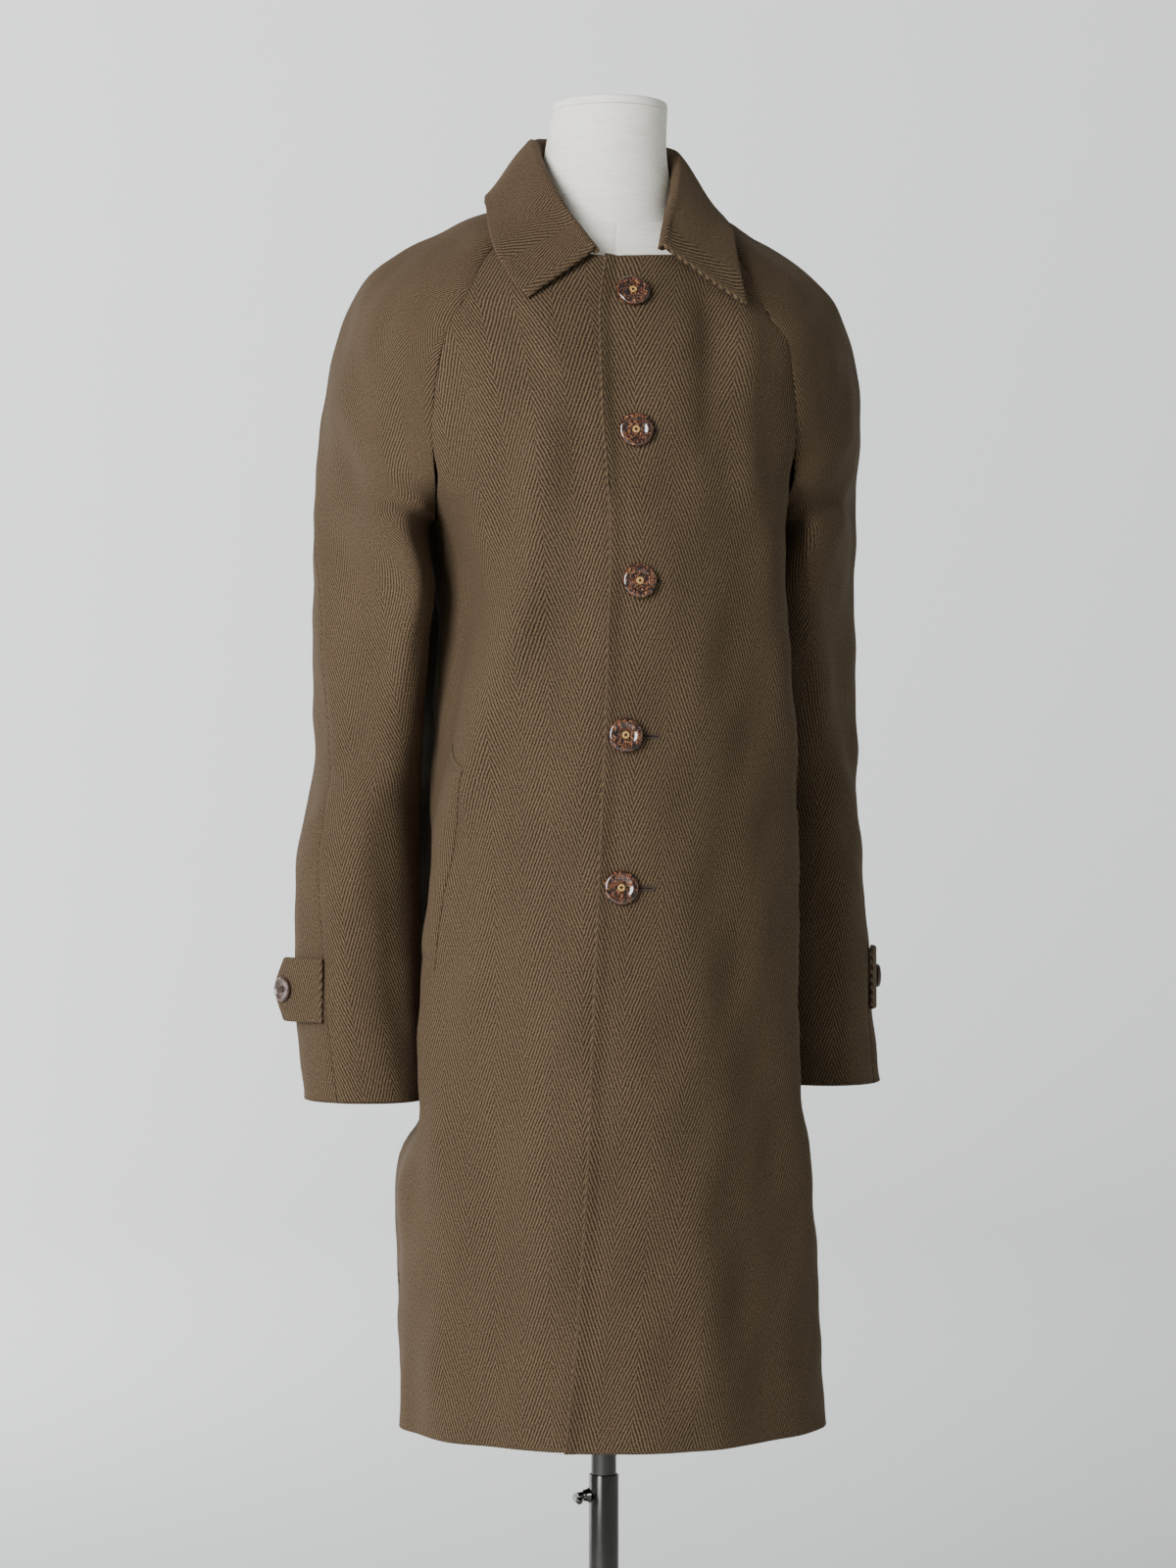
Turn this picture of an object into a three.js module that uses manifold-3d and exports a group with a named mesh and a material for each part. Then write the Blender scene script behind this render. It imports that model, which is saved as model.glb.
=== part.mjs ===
import * as THREE from "three";
import { mergeVertices } from "three/addons/utils/BufferGeometryUtils.js";
import Module from "manifold-3d";

// All sizes are in millimetres. The origin is on the floor under the pole, +Z is up and the coat faces -Y.
// +X is the wearer's left.
const clothThickness = 2.4;
const seamGap = 0.5;
const hemHeight = 400;
const underarmHeight = 1150;
const neckOpeningHeight = 1370;
const necklineScoop = 2.6;
const layerLift = 4;
const underEdgeX = 28;
const skirtRows = 13;
const yokeRows = 9;
const frontColumns = 12;
const backColumns = 18;
const sleeveHalfColumns = 8;
const sleeveTubeRows = 12;
const buttonDiameter = 28;
const tabButtonDiameter = 20.5;
const buttonThickness = 5.2;
const tabButtonThickness = 4;
const buttonSegments = 18;
const weltSeat = 2.5;
const collarThickness = 3.2;
const collarRows = 32;
const collarColumns = 12;

// Horizontal sections of the body: centre, half width, depth in front of and behind the centre.
const bodySections = [
  { z: 400, centre: 7, half: 182, front: 175, back: 178 },
  { z: 480, centre: 4, half: 181, front: 175, back: 177 },
  { z: 600, centre: 1, half: 181, front: 175, back: 176 },
  { z: 750, centre: 0, half: 178, front: 175, back: 174 },
  { z: 900, centre: 0, half: 177, front: 172, back: 170 },
  { z: 1000, centre: 0, half: 176, front: 168, back: 167 },
  { z: 1080, centre: 0, half: 175, front: 165, back: 166 },
  { z: 1150, centre: -3, half: 180, front: 162, back: 166 },
  { z: 1182, centre: -5, half: 187, front: 160, back: 166 },
  { z: 1212, centre: -6, half: 193, front: 158, back: 165 },
  { z: 1250, centre: -7, half: 203, front: 153, back: 160 },
  { z: 1285, centre: -7, half: 212, front: 144, back: 153 },
  { z: 1310, centre: -7, half: 212, front: 135, back: 146 },
  { z: 1338, centre: -8, half: 200, front: 121, back: 136 },
  { z: 1379, centre: -4, half: 148, front: 96, back: 116 },
  { z: 1402, centre: -1, half: 100, front: 72, back: 100 },
  { z: 1440, centre: 0, half: 66, front: 50, back: 70 },
];

// The hollow in each side of the body where the sleeve hangs, by height. Angles are degrees from the front.
const rightHollow = [
  { z: 400, start: 66, full: 88, back: 107, end: 128, depth: 0 },
  { z: 480, start: 66, full: 88, back: 107, end: 128, depth: 0 },
  { z: 560, start: 66, full: 88, back: 107, end: 128, depth: 1 },
  { z: 605, start: 66, full: 88, back: 107, end: 128, depth: 0 },
  { z: 640, start: 66, full: 88, back: 107, end: 128, depth: 13 },
  { z: 662, start: 66, full: 88, back: 107, end: 128, depth: 35.5 },
  { z: 690, start: 66, full: 88, back: 107, end: 128, depth: 37 },
  { z: 750, start: 66, full: 90, back: 102, end: 123, depth: 34 },
  { z: 875, start: 57, full: 82, back: 102, end: 123, depth: 30.5 },
  { z: 980, start: 47, full: 72, back: 102, end: 123, depth: 32 },
  { z: 1040, start: 38, full: 67, back: 102, end: 123, depth: 33 },
  { z: 1100, start: 31, full: 66, back: 105, end: 126, depth: 35 },
  { z: 1150, start: 35, full: 76, back: 105, end: 126, depth: 37 },
  { z: 1182, start: 43, full: 84, back: 108, end: 132, depth: 32 },
  { z: 1260, start: 43, full: 86, back: 108, end: 132, depth: 10 },
  { z: 1340, start: 43, full: 86, back: 108, end: 132, depth: 0 },
];
const leftHollow = [
  { z: 400, start: 58, full: 80, back: 112, end: 140, depth: 1 },
  { z: 480, start: 58, full: 80, back: 112, end: 140, depth: 3 },
  { z: 560, start: 56, full: 80, back: 112, end: 140, depth: 6 },
  { z: 640, start: 55, full: 80, back: 112, end: 140, depth: 24 },
  { z: 690, start: 54, full: 80, back: 112, end: 140, depth: 39 },
  { z: 750, start: 54, full: 81, back: 112, end: 140, depth: 43 },
  { z: 875, start: 54, full: 82, back: 112, end: 142, depth: 51 },
  { z: 980, start: 52, full: 82, back: 113, end: 142, depth: 52 },
  { z: 1040, start: 49, full: 82, back: 113, end: 142, depth: 51 },
  { z: 1100, start: 46, full: 82, back: 112, end: 140, depth: 49 },
  { z: 1150, start: 44, full: 82, back: 110, end: 136, depth: 45 },
  { z: 1182, start: 43, full: 84, back: 108, end: 134, depth: 37 },
  { z: 1260, start: 43, full: 86, back: 108, end: 132, depth: 10 },
  { z: 1340, start: 43, full: 86, back: 108, end: 132, depth: 0 },
];

// Soft folds of the body: a ridge is positive, a trough negative. Angles are degrees from the front.
const bodyFolds = [
  { top: 1270, topAngle: -16, bottom: 1010, bottomAngle: -36, rise: 7, spread: 6 },
  { top: 1110, topAngle: -26, bottom: 880, bottomAngle: -55, rise: 6.5, spread: 6.5 },
  { top: 1180, topAngle: -12, bottom: 940, bottomAngle: -26, rise: -3, spread: 8 },
  { top: 1230, topAngle: 34, bottom: 920, bottomAngle: 53, rise: 6, spread: 7 },
  { top: 1000, topAngle: 22, bottom: 660, bottomAngle: 26, rise: -2.5, spread: 10 },
  { top: 860, topAngle: -36, bottom: 400, bottomAngle: -41, rise: -4, spread: 11 },
  { top: 760, topAngle: -54, bottom: 400, bottomAngle: -60, rise: 3.5, spread: 9 },
  { top: 820, topAngle: 40, bottom: 400, bottomAngle: 36, rise: -4.5, spread: 10 },
  { top: 700, topAngle: 58, bottom: 400, bottomAngle: 61, rise: 4, spread: 9 },
  { top: 740, topAngle: 88, bottom: 400, bottomAngle: 96, rise: -4, spread: 12 },
  { top: 700, topAngle: -92, bottom: 400, bottomAngle: -99, rise: -4.5, spread: 12 },
  { top: 1210, topAngle: 152, bottom: 560, bottomAngle: 146, rise: 5, spread: 9 },
  { top: 1140, topAngle: 174, bottom: 430, bottomAngle: 178, rise: -6, spread: 12 },
  { top: 1190, topAngle: -150, bottom: 500, bottomAngle: -145, rise: 5.5, spread: 9 },
  { top: 900, topAngle: -128, bottom: 400, bottomAngle: -124, rise: -5, spread: 10 },
  { top: 840, topAngle: 126, bottom: 400, bottomAngle: 130, rise: -4.5, spread: 10 },
  { top: 1330, topAngle: 168, bottom: 1190, bottomAngle: 160, rise: -3, spread: 9 },
];

// The edge of the upper front, from the hem to the neck.
const frontEdge = [
  { z: 400, x: -60 },
  { z: 476, x: -53.5 },
  { z: 608, x: -45 },
  { z: 774, x: -38.6 },
  { z: 924, x: -32 },
  { z: 1027, x: -27.5 },
  { z: 1146, x: -24.5 },
  { z: 1241, x: -30 },
  { z: 1325, x: -27 },
  { z: 1367, x: -18 },
];

// The shoulder, row by row from the neck to the underarm. The front and back seams are angles and heights on
// the body. The ridge is the top line of the shoulder. Handles give the fullness of the cloth between them.
const yoke = [
  { frontAngle: 43.6, frontZ: 1402, backAngle: 139, backZ: 1438, out: 68, y: 8, z: 1423, lean: 0,
    fOut: 3, fFwd: 6, fUp: 8, rFwd: 18, rIn: 0, rBack: 16, bOut: 9, bAft: 4, bUp: 0 },
  { frontAngle: 43.6, frontZ: 1379, backAngle: 135, backZ: 1415, out: 101, y: 24, z: 1420, lean: 0,
    fOut: 12, fFwd: -9, fUp: 16, rFwd: 36, rIn: 0, rBack: 22, bOut: 18, bAft: 2, bUp: 4 },
  { frontAngle: 37.6, frontZ: 1339, backAngle: 143, backZ: 1385, out: 136, y: 38, z: 1405.5, lean: 1,
    fOut: 26, fFwd: -17, fUp: 22, rFwd: 46, rIn: 0, rBack: 26, bOut: 30, bAft: -4, bUp: 8 },
  { frontAngle: 41, frontZ: 1310, backAngle: 145, backZ: 1350, out: 170, y: 44, z: 1388, lean: 2,
    fOut: 34, fFwd: -21, fUp: 26, rFwd: 50, rIn: 0, rBack: 32, bOut: 38, bAft: -4, bUp: 18 },
  { frontAngle: 43.9, frontZ: 1285, backAngle: 143, backZ: 1310, out: 204, y: 47, z: 1358, lean: 7.5,
    fOut: 42, fFwd: -22, fUp: 24, rFwd: 58, rIn: 0, rBack: 38, bOut: 46, bAft: -2, bUp: 22 },
  { frontAngle: 48.5, frontZ: 1250, backAngle: 137, backZ: 1265, out: 221.5, y: 48, z: 1312, lean: 7,
    fOut: 44, fFwd: -19, fUp: 20, rFwd: 68, rIn: 0, rBack: 44, bOut: 46, bAft: 4, bUp: 20 },
  { frontAngle: 52.9, frontZ: 1212, backAngle: 129, backZ: 1215, out: 231, y: 46, z: 1258, lean: 5.1,
    fOut: 42, fFwd: -14, fUp: 14, rFwd: 76, rIn: 0, rBack: 54, bOut: 44, bAft: 16, bUp: 16 },
  { frontAngle: 56, frontZ: 1182, backAngle: 125, backZ: 1182, out: 235, y: 42, z: 1212, lean: 2.3,
    fOut: 32, fFwd: 8, fUp: 8, rFwd: 98, rIn: 26, rBack: 66, bOut: 34, bAft: 36, bUp: 10 },
  { frontAngle: 77, frontZ: 1160, backAngle: 115, backZ: 1161, out: 235.2, y: 36, z: 1178, lean: -2.3,
    fOut: 14, fFwd: 84, fUp: 4, rFwd: 106, rIn: 46, rBack: 84, bOut: 18, bAft: 72, bUp: 6 },
  { frontAngle: 104, frontZ: 1150, backAngle: 104, backZ: 1150, out: 235, y: 30, z: 1152, lean: -5,
    fOut: 24, fFwd: 156, fUp: 0, rFwd: 132, rIn: 54, rBack: 92, bOut: 12, bAft: 92, bUp: 0 },
];

// Horizontal sections of the hanging sleeves. The seam turn is where the overarm seam lies, in degrees from
// the front towards the outside. Full is how far the inner front corner stands out from an ellipse.
const rightSleeve = [
  { z: 1100, inner: 147, outer: 243.5, y: 22, depth: 84, seamTurn: 74, full: 56 },
  { z: 1050, inner: 149.5, outer: 242.5, y: 26, depth: 79, seamTurn: 70, full: 44 },
  { z: 1000, inner: 151, outer: 241, y: 30, depth: 72, seamTurn: 64, full: 28 },
  { z: 960, inner: 151.5, outer: 239.5, y: 34, depth: 67, seamTurn: 60, full: 14 },
  { z: 925, inner: 152, outer: 247.5, y: 35, depth: 66, seamTurn: 56, full: 0 },
  { z: 890, inner: 152.5, outer: 253.5, y: 35, depth: 63, seamTurn: 52, full: 0 },
  { z: 850, inner: 152.5, outer: 255.5, y: 34, depth: 61, seamTurn: 49, full: 0 },
  { z: 800, inner: 152.5, outer: 254.5, y: 33, depth: 59, seamTurn: 46, full: 0 },
  { z: 755, inner: 152, outer: 254, y: 31, depth: 58, seamTurn: 43, full: 0 },
  { z: 712, inner: 150.5, outer: 250.5, y: 29, depth: 57, seamTurn: 40, full: 0 },
  { z: 671, inner: 148.2, outer: 247.5, y: 27, depth: 56, seamTurn: 37, full: 0 },
];
const leftSleeve = [
  { z: 1100, inner: 129, outer: 224.5, y: 30, depth: 83, seamTurn: 84, full: 56 },
  { z: 1050, inner: 128, outer: 227, y: 35, depth: 78, seamTurn: 82, full: 44 },
  { z: 1000, inner: 127.5, outer: 228.5, y: 41, depth: 70, seamTurn: 79, full: 28 },
  { z: 960, inner: 128, outer: 230.5, y: 45, depth: 67, seamTurn: 76, full: 14 },
  { z: 925, inner: 128, outer: 234, y: 46, depth: 66, seamTurn: 73, full: 0 },
  { z: 890, inner: 129, outer: 235.5, y: 46, depth: 64, seamTurn: 70, full: 0 },
  { z: 850, inner: 131, outer: 236.5, y: 45, depth: 62, seamTurn: 67, full: 0 },
  { z: 800, inner: 134, outer: 239, y: 43, depth: 60, seamTurn: 63, full: 0 },
  { z: 755, inner: 136, outer: 240, y: 41, depth: 58, seamTurn: 60, full: 0 },
  { z: 712, inner: 140, outer: 242.5, y: 38, depth: 57, seamTurn: 57, full: 0 },
  { z: 680, inner: 144, outer: 246, y: 36, depth: 56, seamTurn: 54, full: 0 },
];

// Creases of the sleeves. Turn is in degrees from the front towards the outside, slope in degrees of turn for
// each 100 mm of height.
const rightSleeveFolds = [
  { z: 1180, turn: 6, slope: -8, rise: 5, spread: 26, length: 210 },
  { z: 1020, turn: 40, slope: 22, rise: -4, spread: 20, length: 120 },
  { z: 925, turn: 96, slope: 60, rise: -5, spread: 26, length: 34 },
  { z: 880, turn: 30, slope: 40, rise: 3.5, spread: 22, length: 70 },
  { z: 800, turn: -10, slope: -12, rise: -3, spread: 20, length: 90 },
  { z: 1060, turn: 165, slope: 16, rise: 4, spread: 24, length: 150 },
  { z: 940, turn: 205, slope: -50, rise: -4, spread: 24, length: 50 },
];
const leftSleeveFolds = [
  { z: 1150, turn: 30, slope: -10, rise: 5, spread: 24, length: 220 },
  { z: 990, turn: 55, slope: 24, rise: -4, spread: 20, length: 110 },
  { z: 915, turn: 100, slope: 55, rise: -3.5, spread: 26, length: 36 },
  { z: 860, turn: 20, slope: 34, rise: 3, spread: 22, length: 80 },
  { z: 1080, turn: 170, slope: -14, rise: 4, spread: 24, length: 140 },
  { z: 900, turn: 210, slope: 45, rise: -4, spread: 22, length: 60 },
];

// The collar, from the wearer's right front end round the back of the neck to the left front end. Turn is
// the direction of its seam from the neck, in degrees from the front.
const collarStations = [
  { turn: -15, rollX: -26, rollY: -107, rollZ: 1375, edgeX: -84, edgeY: -122, edgeZ: 1331, bend: 3.2, lift: 4.6 },
  { turn: -34, rollX: -42, rollY: -90, rollZ: 1401, edgeX: -104, edgeY: -101, edgeZ: 1364, bend: 4.5, lift: 3.4 },
  { turn: -60, rollX: -57, rollY: -60, rollZ: 1436, edgeX: -108, edgeY: -64, edgeZ: 1396, bend: 5.5, lift: 3 },
  { turn: -92, rollX: -62, rollY: -12, rollZ: 1474, edgeX: -103, edgeY: -12, edgeZ: 1428, bend: 6, lift: 2.2 },
  { turn: -130, rollX: -52, rollY: 40, rollZ: 1487, edgeX: -86, edgeY: 70, edgeZ: 1430, bend: 6, lift: 2.2 },
  { turn: -158, rollX: -27, rollY: 62, rollZ: 1490, edgeX: -44, edgeY: 98, edgeZ: 1425, bend: 6, lift: 2.2 },
  { turn: -180, rollX: 0, rollY: 68, rollZ: 1490, edgeX: 0, edgeY: 106, edgeZ: 1422, bend: 6, lift: 2.2 },
  { turn: -202, rollX: 27, rollY: 62, rollZ: 1490, edgeX: 43, edgeY: 98, edgeZ: 1423, bend: 6, lift: 2.2 },
  { turn: -230, rollX: 52, rollY: 40, rollZ: 1485, edgeX: 82, edgeY: 68, edgeZ: 1424, bend: 6, lift: 2.2 },
  { turn: -268, rollX: 61, rollY: -12, rollZ: 1468, edgeX: 94, edgeY: -12, edgeZ: 1420, bend: 5.5, lift: 2.2 },
  { turn: -302, rollX: 50, rollY: -62, rollZ: 1430, edgeX: 98, edgeY: -68, edgeZ: 1394, bend: 5.5, lift: 4.6 },
  { turn: -333, rollX: 38, rollY: -92, rollZ: 1401, edgeX: 97, edgeY: -101, edgeZ: 1359, bend: 4.5, lift: 6.4 },
  { turn: -343.5, rollX: 31, rollY: -109, rollZ: 1378, edgeX: 98, edgeY: -120, edgeZ: 1328, bend: 3.2, lift: 5.6 },
];

// The dress form, from the flat underside to the top of the neck.
const formSections = [
  { z: 812, x: 0, y: 5, half: 112, front: 104, back: 100 },
  { z: 840, x: 0, y: 5, half: 116, front: 110, back: 106 },
  { z: 900, x: 0, y: 5, half: 118, front: 116, back: 114 },
  { z: 1000, x: 0, y: 5, half: 114, front: 112, back: 106 },
  { z: 1060, x: 0, y: 5, half: 112, front: 120, back: 106 },
  { z: 1130, x: -2, y: 6, half: 116, front: 142, back: 120 },
  { z: 1190, x: -4, y: 8, half: 124, front: 151, back: 130 },
  { z: 1240, x: -5, y: 12, half: 138, front: 150, back: 128 },
  { z: 1290, x: -5, y: 20, half: 152, front: 146, back: 110 },
  { z: 1330, x: -5, y: 26, half: 154, front: 134, back: 88 },
  { z: 1360, x: -5, y: 30, half: 145, front: 122, back: 76 },
  { z: 1380, x: -4, y: 26, half: 125, front: 106, back: 69 },
  { z: 1394, x: -2, y: 14, half: 99, front: 86, back: 66 },
  { z: 1404, x: 0, y: 4, half: 75, front: 70, back: 62 },
  { z: 1412, x: 0, y: -2, half: 62.6, front: 61.5, back: 56.8 },
  { z: 1440, x: 0, y: -6, half: 56.5, front: 54.4, back: 55.6 },
  { z: 1470, x: 0, y: -9, half: 51.5, front: 50.5, back: 51.5 },
  { z: 1503, x: 3, y: -13, half: 48.5, front: 48.5, back: 48.5 },
];
const neckCapThickness = 8;
const formSegments = 28;

// The front buttons, from the neck down, by where their centres lie.
const frontButtons = [
  { x: 1.3, z: 1337 },
  { x: -1.8, z: 1222 },
  { x: -0.9, z: 1100 },
  { x: -13, z: 976 },
  { x: -16.9, z: 854 },
];
const buttonSeat = 0.6;

// Pocket welts: the angle and height of the front edge at the top and bottom. The back edge is further round
// and a little higher.
const welts = [
  { name: "right_pocket_welt", side: -1, topAngle: 48, topZ: 950, bottomAngle: 61.5, bottomZ: 784 },
  { name: "left_pocket_welt", side: 1, topAngle: 55, topZ: 950, bottomAngle: 68, bottomZ: 786 },
];
const weltTurn = 14.6;
const weltRise = 20;
const weltRows = 9;
const weltColumns = 7;
const weltThickness = 3;

// Cuff tabs: their height, how far they run from the overarm seam and how much they bend round the sleeve.
const tabs = [
  { name: "right", side: -1, z: 764.5, length: 62, bend: 18, stand: 0.5 },
  { name: "left", side: 1, z: 770, length: 60, bend: 33, stand: 1.8 },
];
const tabHalfWidth = 27;
const tabPointLength = 15;
const tabThickness = 3;
const tabButtonPlace = 0.72;
const tabColumns = 8;
const tabRows = 4;

const poleRadius = 10.75;
const tubeRadius = 12.7;
const tubeClearance = 0.35;
const poleTop = 862;
const poleBottom = 172;
const tubeTop = 353;
const tubeBottom = 3.4;
const screwHeight = 335;
const screwRadius = 3;
const bossRadius = 6.5;
const bossReach = 18;
const handleReach = 25;
const handleLength = 24;
const basePlateRadius = 175;
const basePlateThickness = 8;
const hubRadius = 24;
const hubTop = 30;
const tubeSegments = 24;

const degree = Math.PI / 180;
const group = new THREE.Group();
const wasm = await Module();
wasm.setup();

const looks = {
  cloth: { colour: 0x64523e, roughness: 0.95, metalness: 0 },
  button: { colour: 0x4a2a1c, roughness: 0.25, metalness: 0 },
  linen: { colour: 0xe1ded4, roughness: 0.9, metalness: 0 },
  steel: { colour: 0xc8cacc, roughness: 0.18, metalness: 1 },
};

function addMesh(name, geometry, look) {
  const material = new THREE.MeshStandardMaterial({
    color: look.colour,
    roughness: look.roughness,
    metalness: look.metalness,
  });
  const mesh = new THREE.Mesh(geometry, material);
  mesh.name = name;
  group.add(mesh);
}

function smoothStep(value) {
  const t = Math.min(1, Math.max(0, value));
  return t * t * (3 - 2 * t);
}

function slopeAt(table, index, key, column) {
  const before = table[Math.max(0, index - 1)];
  const after = table[Math.min(table.length - 1, index + 1)];
  return (after[column] - before[column]) / (after[key] - before[key]);
}

// Reads every column of a table at a place along its key, on a smooth curve through the rows.
function readTable(table, key, place) {
  const rising = table[table.length - 1][key] > table[0][key];
  const low = rising ? table[0][key] : table[table.length - 1][key];
  const high = rising ? table[table.length - 1][key] : table[0][key];
  const at = Math.min(high, Math.max(low, place));
  let index = 0;
  while (index < table.length - 2) {
    const next = table[index + 1][key];
    if (rising ? at <= next : at >= next) {
      break;
    }
    index += 1;
  }
  const from = table[index];
  const to = table[index + 1];
  const span = to[key] - from[key];
  const t = (at - from[key]) / span;
  const result = {};
  for (const column of Object.keys(from)) {
    const startSlope = slopeAt(table, index, key, column) * span;
    const endSlope = slopeAt(table, index + 1, key, column) * span;
    const h00 = 2 * t * t * t - 3 * t * t + 1;
    const h10 = t * t * t - 2 * t * t + t;
    const h01 = -2 * t * t * t + 3 * t * t;
    const h11 = t * t * t - t * t;
    result[column] = h00 * from[column] + h10 * startSlope + h01 * to[column] + h11 * endSlope;
  }
  return result;
}

function foldRise(folds, angle, z) {
  let rise = 0;
  for (const fold of folds) {
    const along = (fold.top - z) / (fold.top - fold.bottom);
    const ends = smoothStep(along * 4) * smoothStep((1 - along) * 4 + (fold.bottom <= hemHeight ? 4 : 0));
    const centre = fold.topAngle + (fold.bottomAngle - fold.topAngle) * Math.min(1, Math.max(0, along));
    let offset = angle - centre;
    if (offset > 180) {
      offset -= 360;
    }
    if (offset < -180) {
      offset += 360;
    }
    rise += fold.rise * ends * Math.exp(-((offset / fold.spread) ** 2));
  }
  return rise;
}

// A point on the outside of the body. The angle is in degrees from the front, positive to the wearer's left.
function bodyPoint(angle, z, lift) {
  const section = readTable(bodySections, "z", z);
  const hollow = readTable(angle < 0 ? rightHollow : leftHollow, "z", z);
  const side = Math.abs(angle);
  const into = smoothStep((side - hollow.start) / (hollow.full - hollow.start));
  const outOf = 1 - smoothStep((side - hollow.back) / (hollow.end - hollow.back));
  const radial = foldRise(bodyFolds, angle, z) - hollow.depth * into * outOf + lift;
  const sine = Math.sin(angle * degree);
  const cosine = Math.cos(angle * degree);
  const depth = cosine > 0 ? section.front : section.back;
  return new THREE.Vector3(
    section.centre + sine * (section.half + radial),
    -cosine * (depth + radial),
    z,
  );
}

// The direction from the outside of the body towards its inside.
function bodyInward(angle, z) {
  const turnStep = 1.5;
  const heightStep = 6;
  const across = bodyPoint(angle + turnStep, z, 0).sub(bodyPoint(angle - turnStep, z, 0));
  const up = bodyPoint(angle, z + heightStep, 0).sub(bodyPoint(angle, z - heightStep, 0));
  return up.cross(across).normalize();
}

function angleAtX(x, z) {
  const section = readTable(bodySections, "z", z);
  return Math.asin((x - section.centre) / section.half) / degree;
}

// The layer that lies on top is lifted over the edge of the one below.
function overlapLift(x) {
  return layerLift * (1 - smoothStep((x - underEdgeX - 14) / 50));
}

function seamOnBody(side, which, row) {
  const place = readTable(rowsWithIndex, "row", row);
  const angle = which === "front" ? place.frontAngle : place.backAngle;
  const z = which === "front" ? place.frontZ : place.backZ;
  return { angle: side * angle, z };
}

const rowsWithIndex = yoke.map((entry, index) => ({ row: index, ...entry }));

function facetVolume(positions, triangles) {
  let volume = 0;
  for (let i = 0; i < triangles.length; i += 3) {
    const [a, b, c] = [positions[triangles[i]], positions[triangles[i + 1]], positions[triangles[i + 2]]];
    volume += a.dot(new THREE.Vector3().crossVectors(b, c)) / 6;
  }
  return volume;
}

function solidFromFacets(positions, triangles) {
  const outward = facetVolume(positions, triangles) > 0;
  const order = [];
  for (let i = 0; i < triangles.length; i += 3) {
    order.push(triangles[i]);
    order.push(outward ? triangles[i + 1] : triangles[i + 2]);
    order.push(outward ? triangles[i + 2] : triangles[i + 1]);
  }
  const geometry = new THREE.BufferGeometry();
  const flat = [];
  for (const point of positions) {
    flat.push(point.x, point.y, point.z);
  }
  geometry.setAttribute("position", new THREE.Float32BufferAttribute(flat, 3));
  geometry.setIndex(order);
  geometry.computeVertexNormals();
  return geometry;
}

// A wall between a sheet of outside points and the same sheet moved inwards.
function wallSolid(outer, inner) {
  const rows = outer.length;
  const columns = outer[0].length;
  const positions = [...outer.flat(), ...inner.flat()];
  const triangles = [];
  const front = (i, j) => i * columns + j;
  const behind = (i, j) => rows * columns + i * columns + j;
  const addQuad = (a, b, c, d) => triangles.push(a, b, c, a, c, d);
  for (let i = 0; i < rows - 1; i += 1) {
    for (let j = 0; j < columns - 1; j += 1) {
      addQuad(front(i, j), front(i, j + 1), front(i + 1, j + 1), front(i + 1, j));
      addQuad(behind(i, j), behind(i + 1, j), behind(i + 1, j + 1), behind(i, j + 1));
    }
    addQuad(front(i, 0), front(i + 1, 0), behind(i + 1, 0), behind(i, 0));
    addQuad(front(i, columns - 1), behind(i, columns - 1), behind(i + 1, columns - 1), front(i + 1, columns - 1));
  }
  for (let j = 0; j < columns - 1; j += 1) {
    addQuad(front(0, j), behind(0, j), behind(0, j + 1), front(0, j + 1));
    addQuad(front(rows - 1, j), front(rows - 1, j + 1), behind(rows - 1, j + 1), behind(rows - 1, j));
  }
  return solidFromFacets(positions, triangles);
}

// Draws an edge of a sheet back from its seam by half the gap, square to the seam.
function drawBack(sheet, inward, atStart) {
  const edge = atStart ? 0 : sheet[0].length - 1;
  const neighbour = atStart ? 1 : edge - 1;
  const seam = sheet.map((row) => row[edge].clone());
  for (let i = 0; i < sheet.length; i += 1) {
    const along = seam[Math.min(seam.length - 1, i + 1)].clone().sub(seam[Math.max(0, i - 1)]);
    const step = along.cross(inward[i][edge]).normalize();
    const towards = sheet[i][neighbour].clone().sub(seam[i]);
    const sign = step.dot(towards) < 0 ? -1 : 1;
    sheet[i][edge].addScaledVector(step, sign * seamGap / 2);
  }
}

function offsetSheet(sheet, inward, distance) {
  return sheet.map((row, i) => row.map((point, j) => point.clone().addScaledVector(inward[i][j], distance)));
}

function addClothWall(name, sheet, inward, thickness = clothThickness) {
  addMesh(name, wallSolid(sheet, offsetSheet(sheet, inward, thickness)), looks.cloth);
}

function mix(from, to, share) {
  return from + (to - from) * share;
}

// One front, from its edge at the centre to the side seam and the raglan seam.
function frontSheet(side, isUpper) {
  const sheet = [];
  const inward = [];
  const addRow = (edgeZ, outer, scoop) => {
    const edgeX = isUpper ? readTable(frontEdge, "z", edgeZ).x : underEdgeX;
    const edgeAngle = angleAtX(edgeX, edgeZ);
    const points = [];
    const directions = [];
    for (let j = 0; j <= frontColumns; j += 1) {
      const share = j / frontColumns;
      const angle = mix(edgeAngle, outer.angle, share);
      const z = mix(edgeZ, outer.z, share ** scoop);
      const x = bodyPoint(angle, z, 0).x;
      points.push(bodyPoint(angle, z, isUpper ? overlapLift(x) : 0));
      directions.push(bodyInward(angle, z));
    }
    sheet.push(points);
    inward.push(directions);
  };
  for (let i = 0; i < skirtRows; i += 1) {
    const z = mix(hemHeight, underarmHeight, i / skirtRows);
    addRow(z, { angle: side * yoke[yokeRows].frontAngle, z }, 1);
  }
  for (let row = yokeRows; row >= 0; row -= 1) {
    const edgeZ = mix(neckOpeningHeight, underarmHeight, row / yokeRows);
    addRow(edgeZ, seamOnBody(side, "front", row), mix(necklineScoop, 1, row / yokeRows));
  }
  drawBack(sheet, inward, false);
  return { sheet, inward };
}

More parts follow.
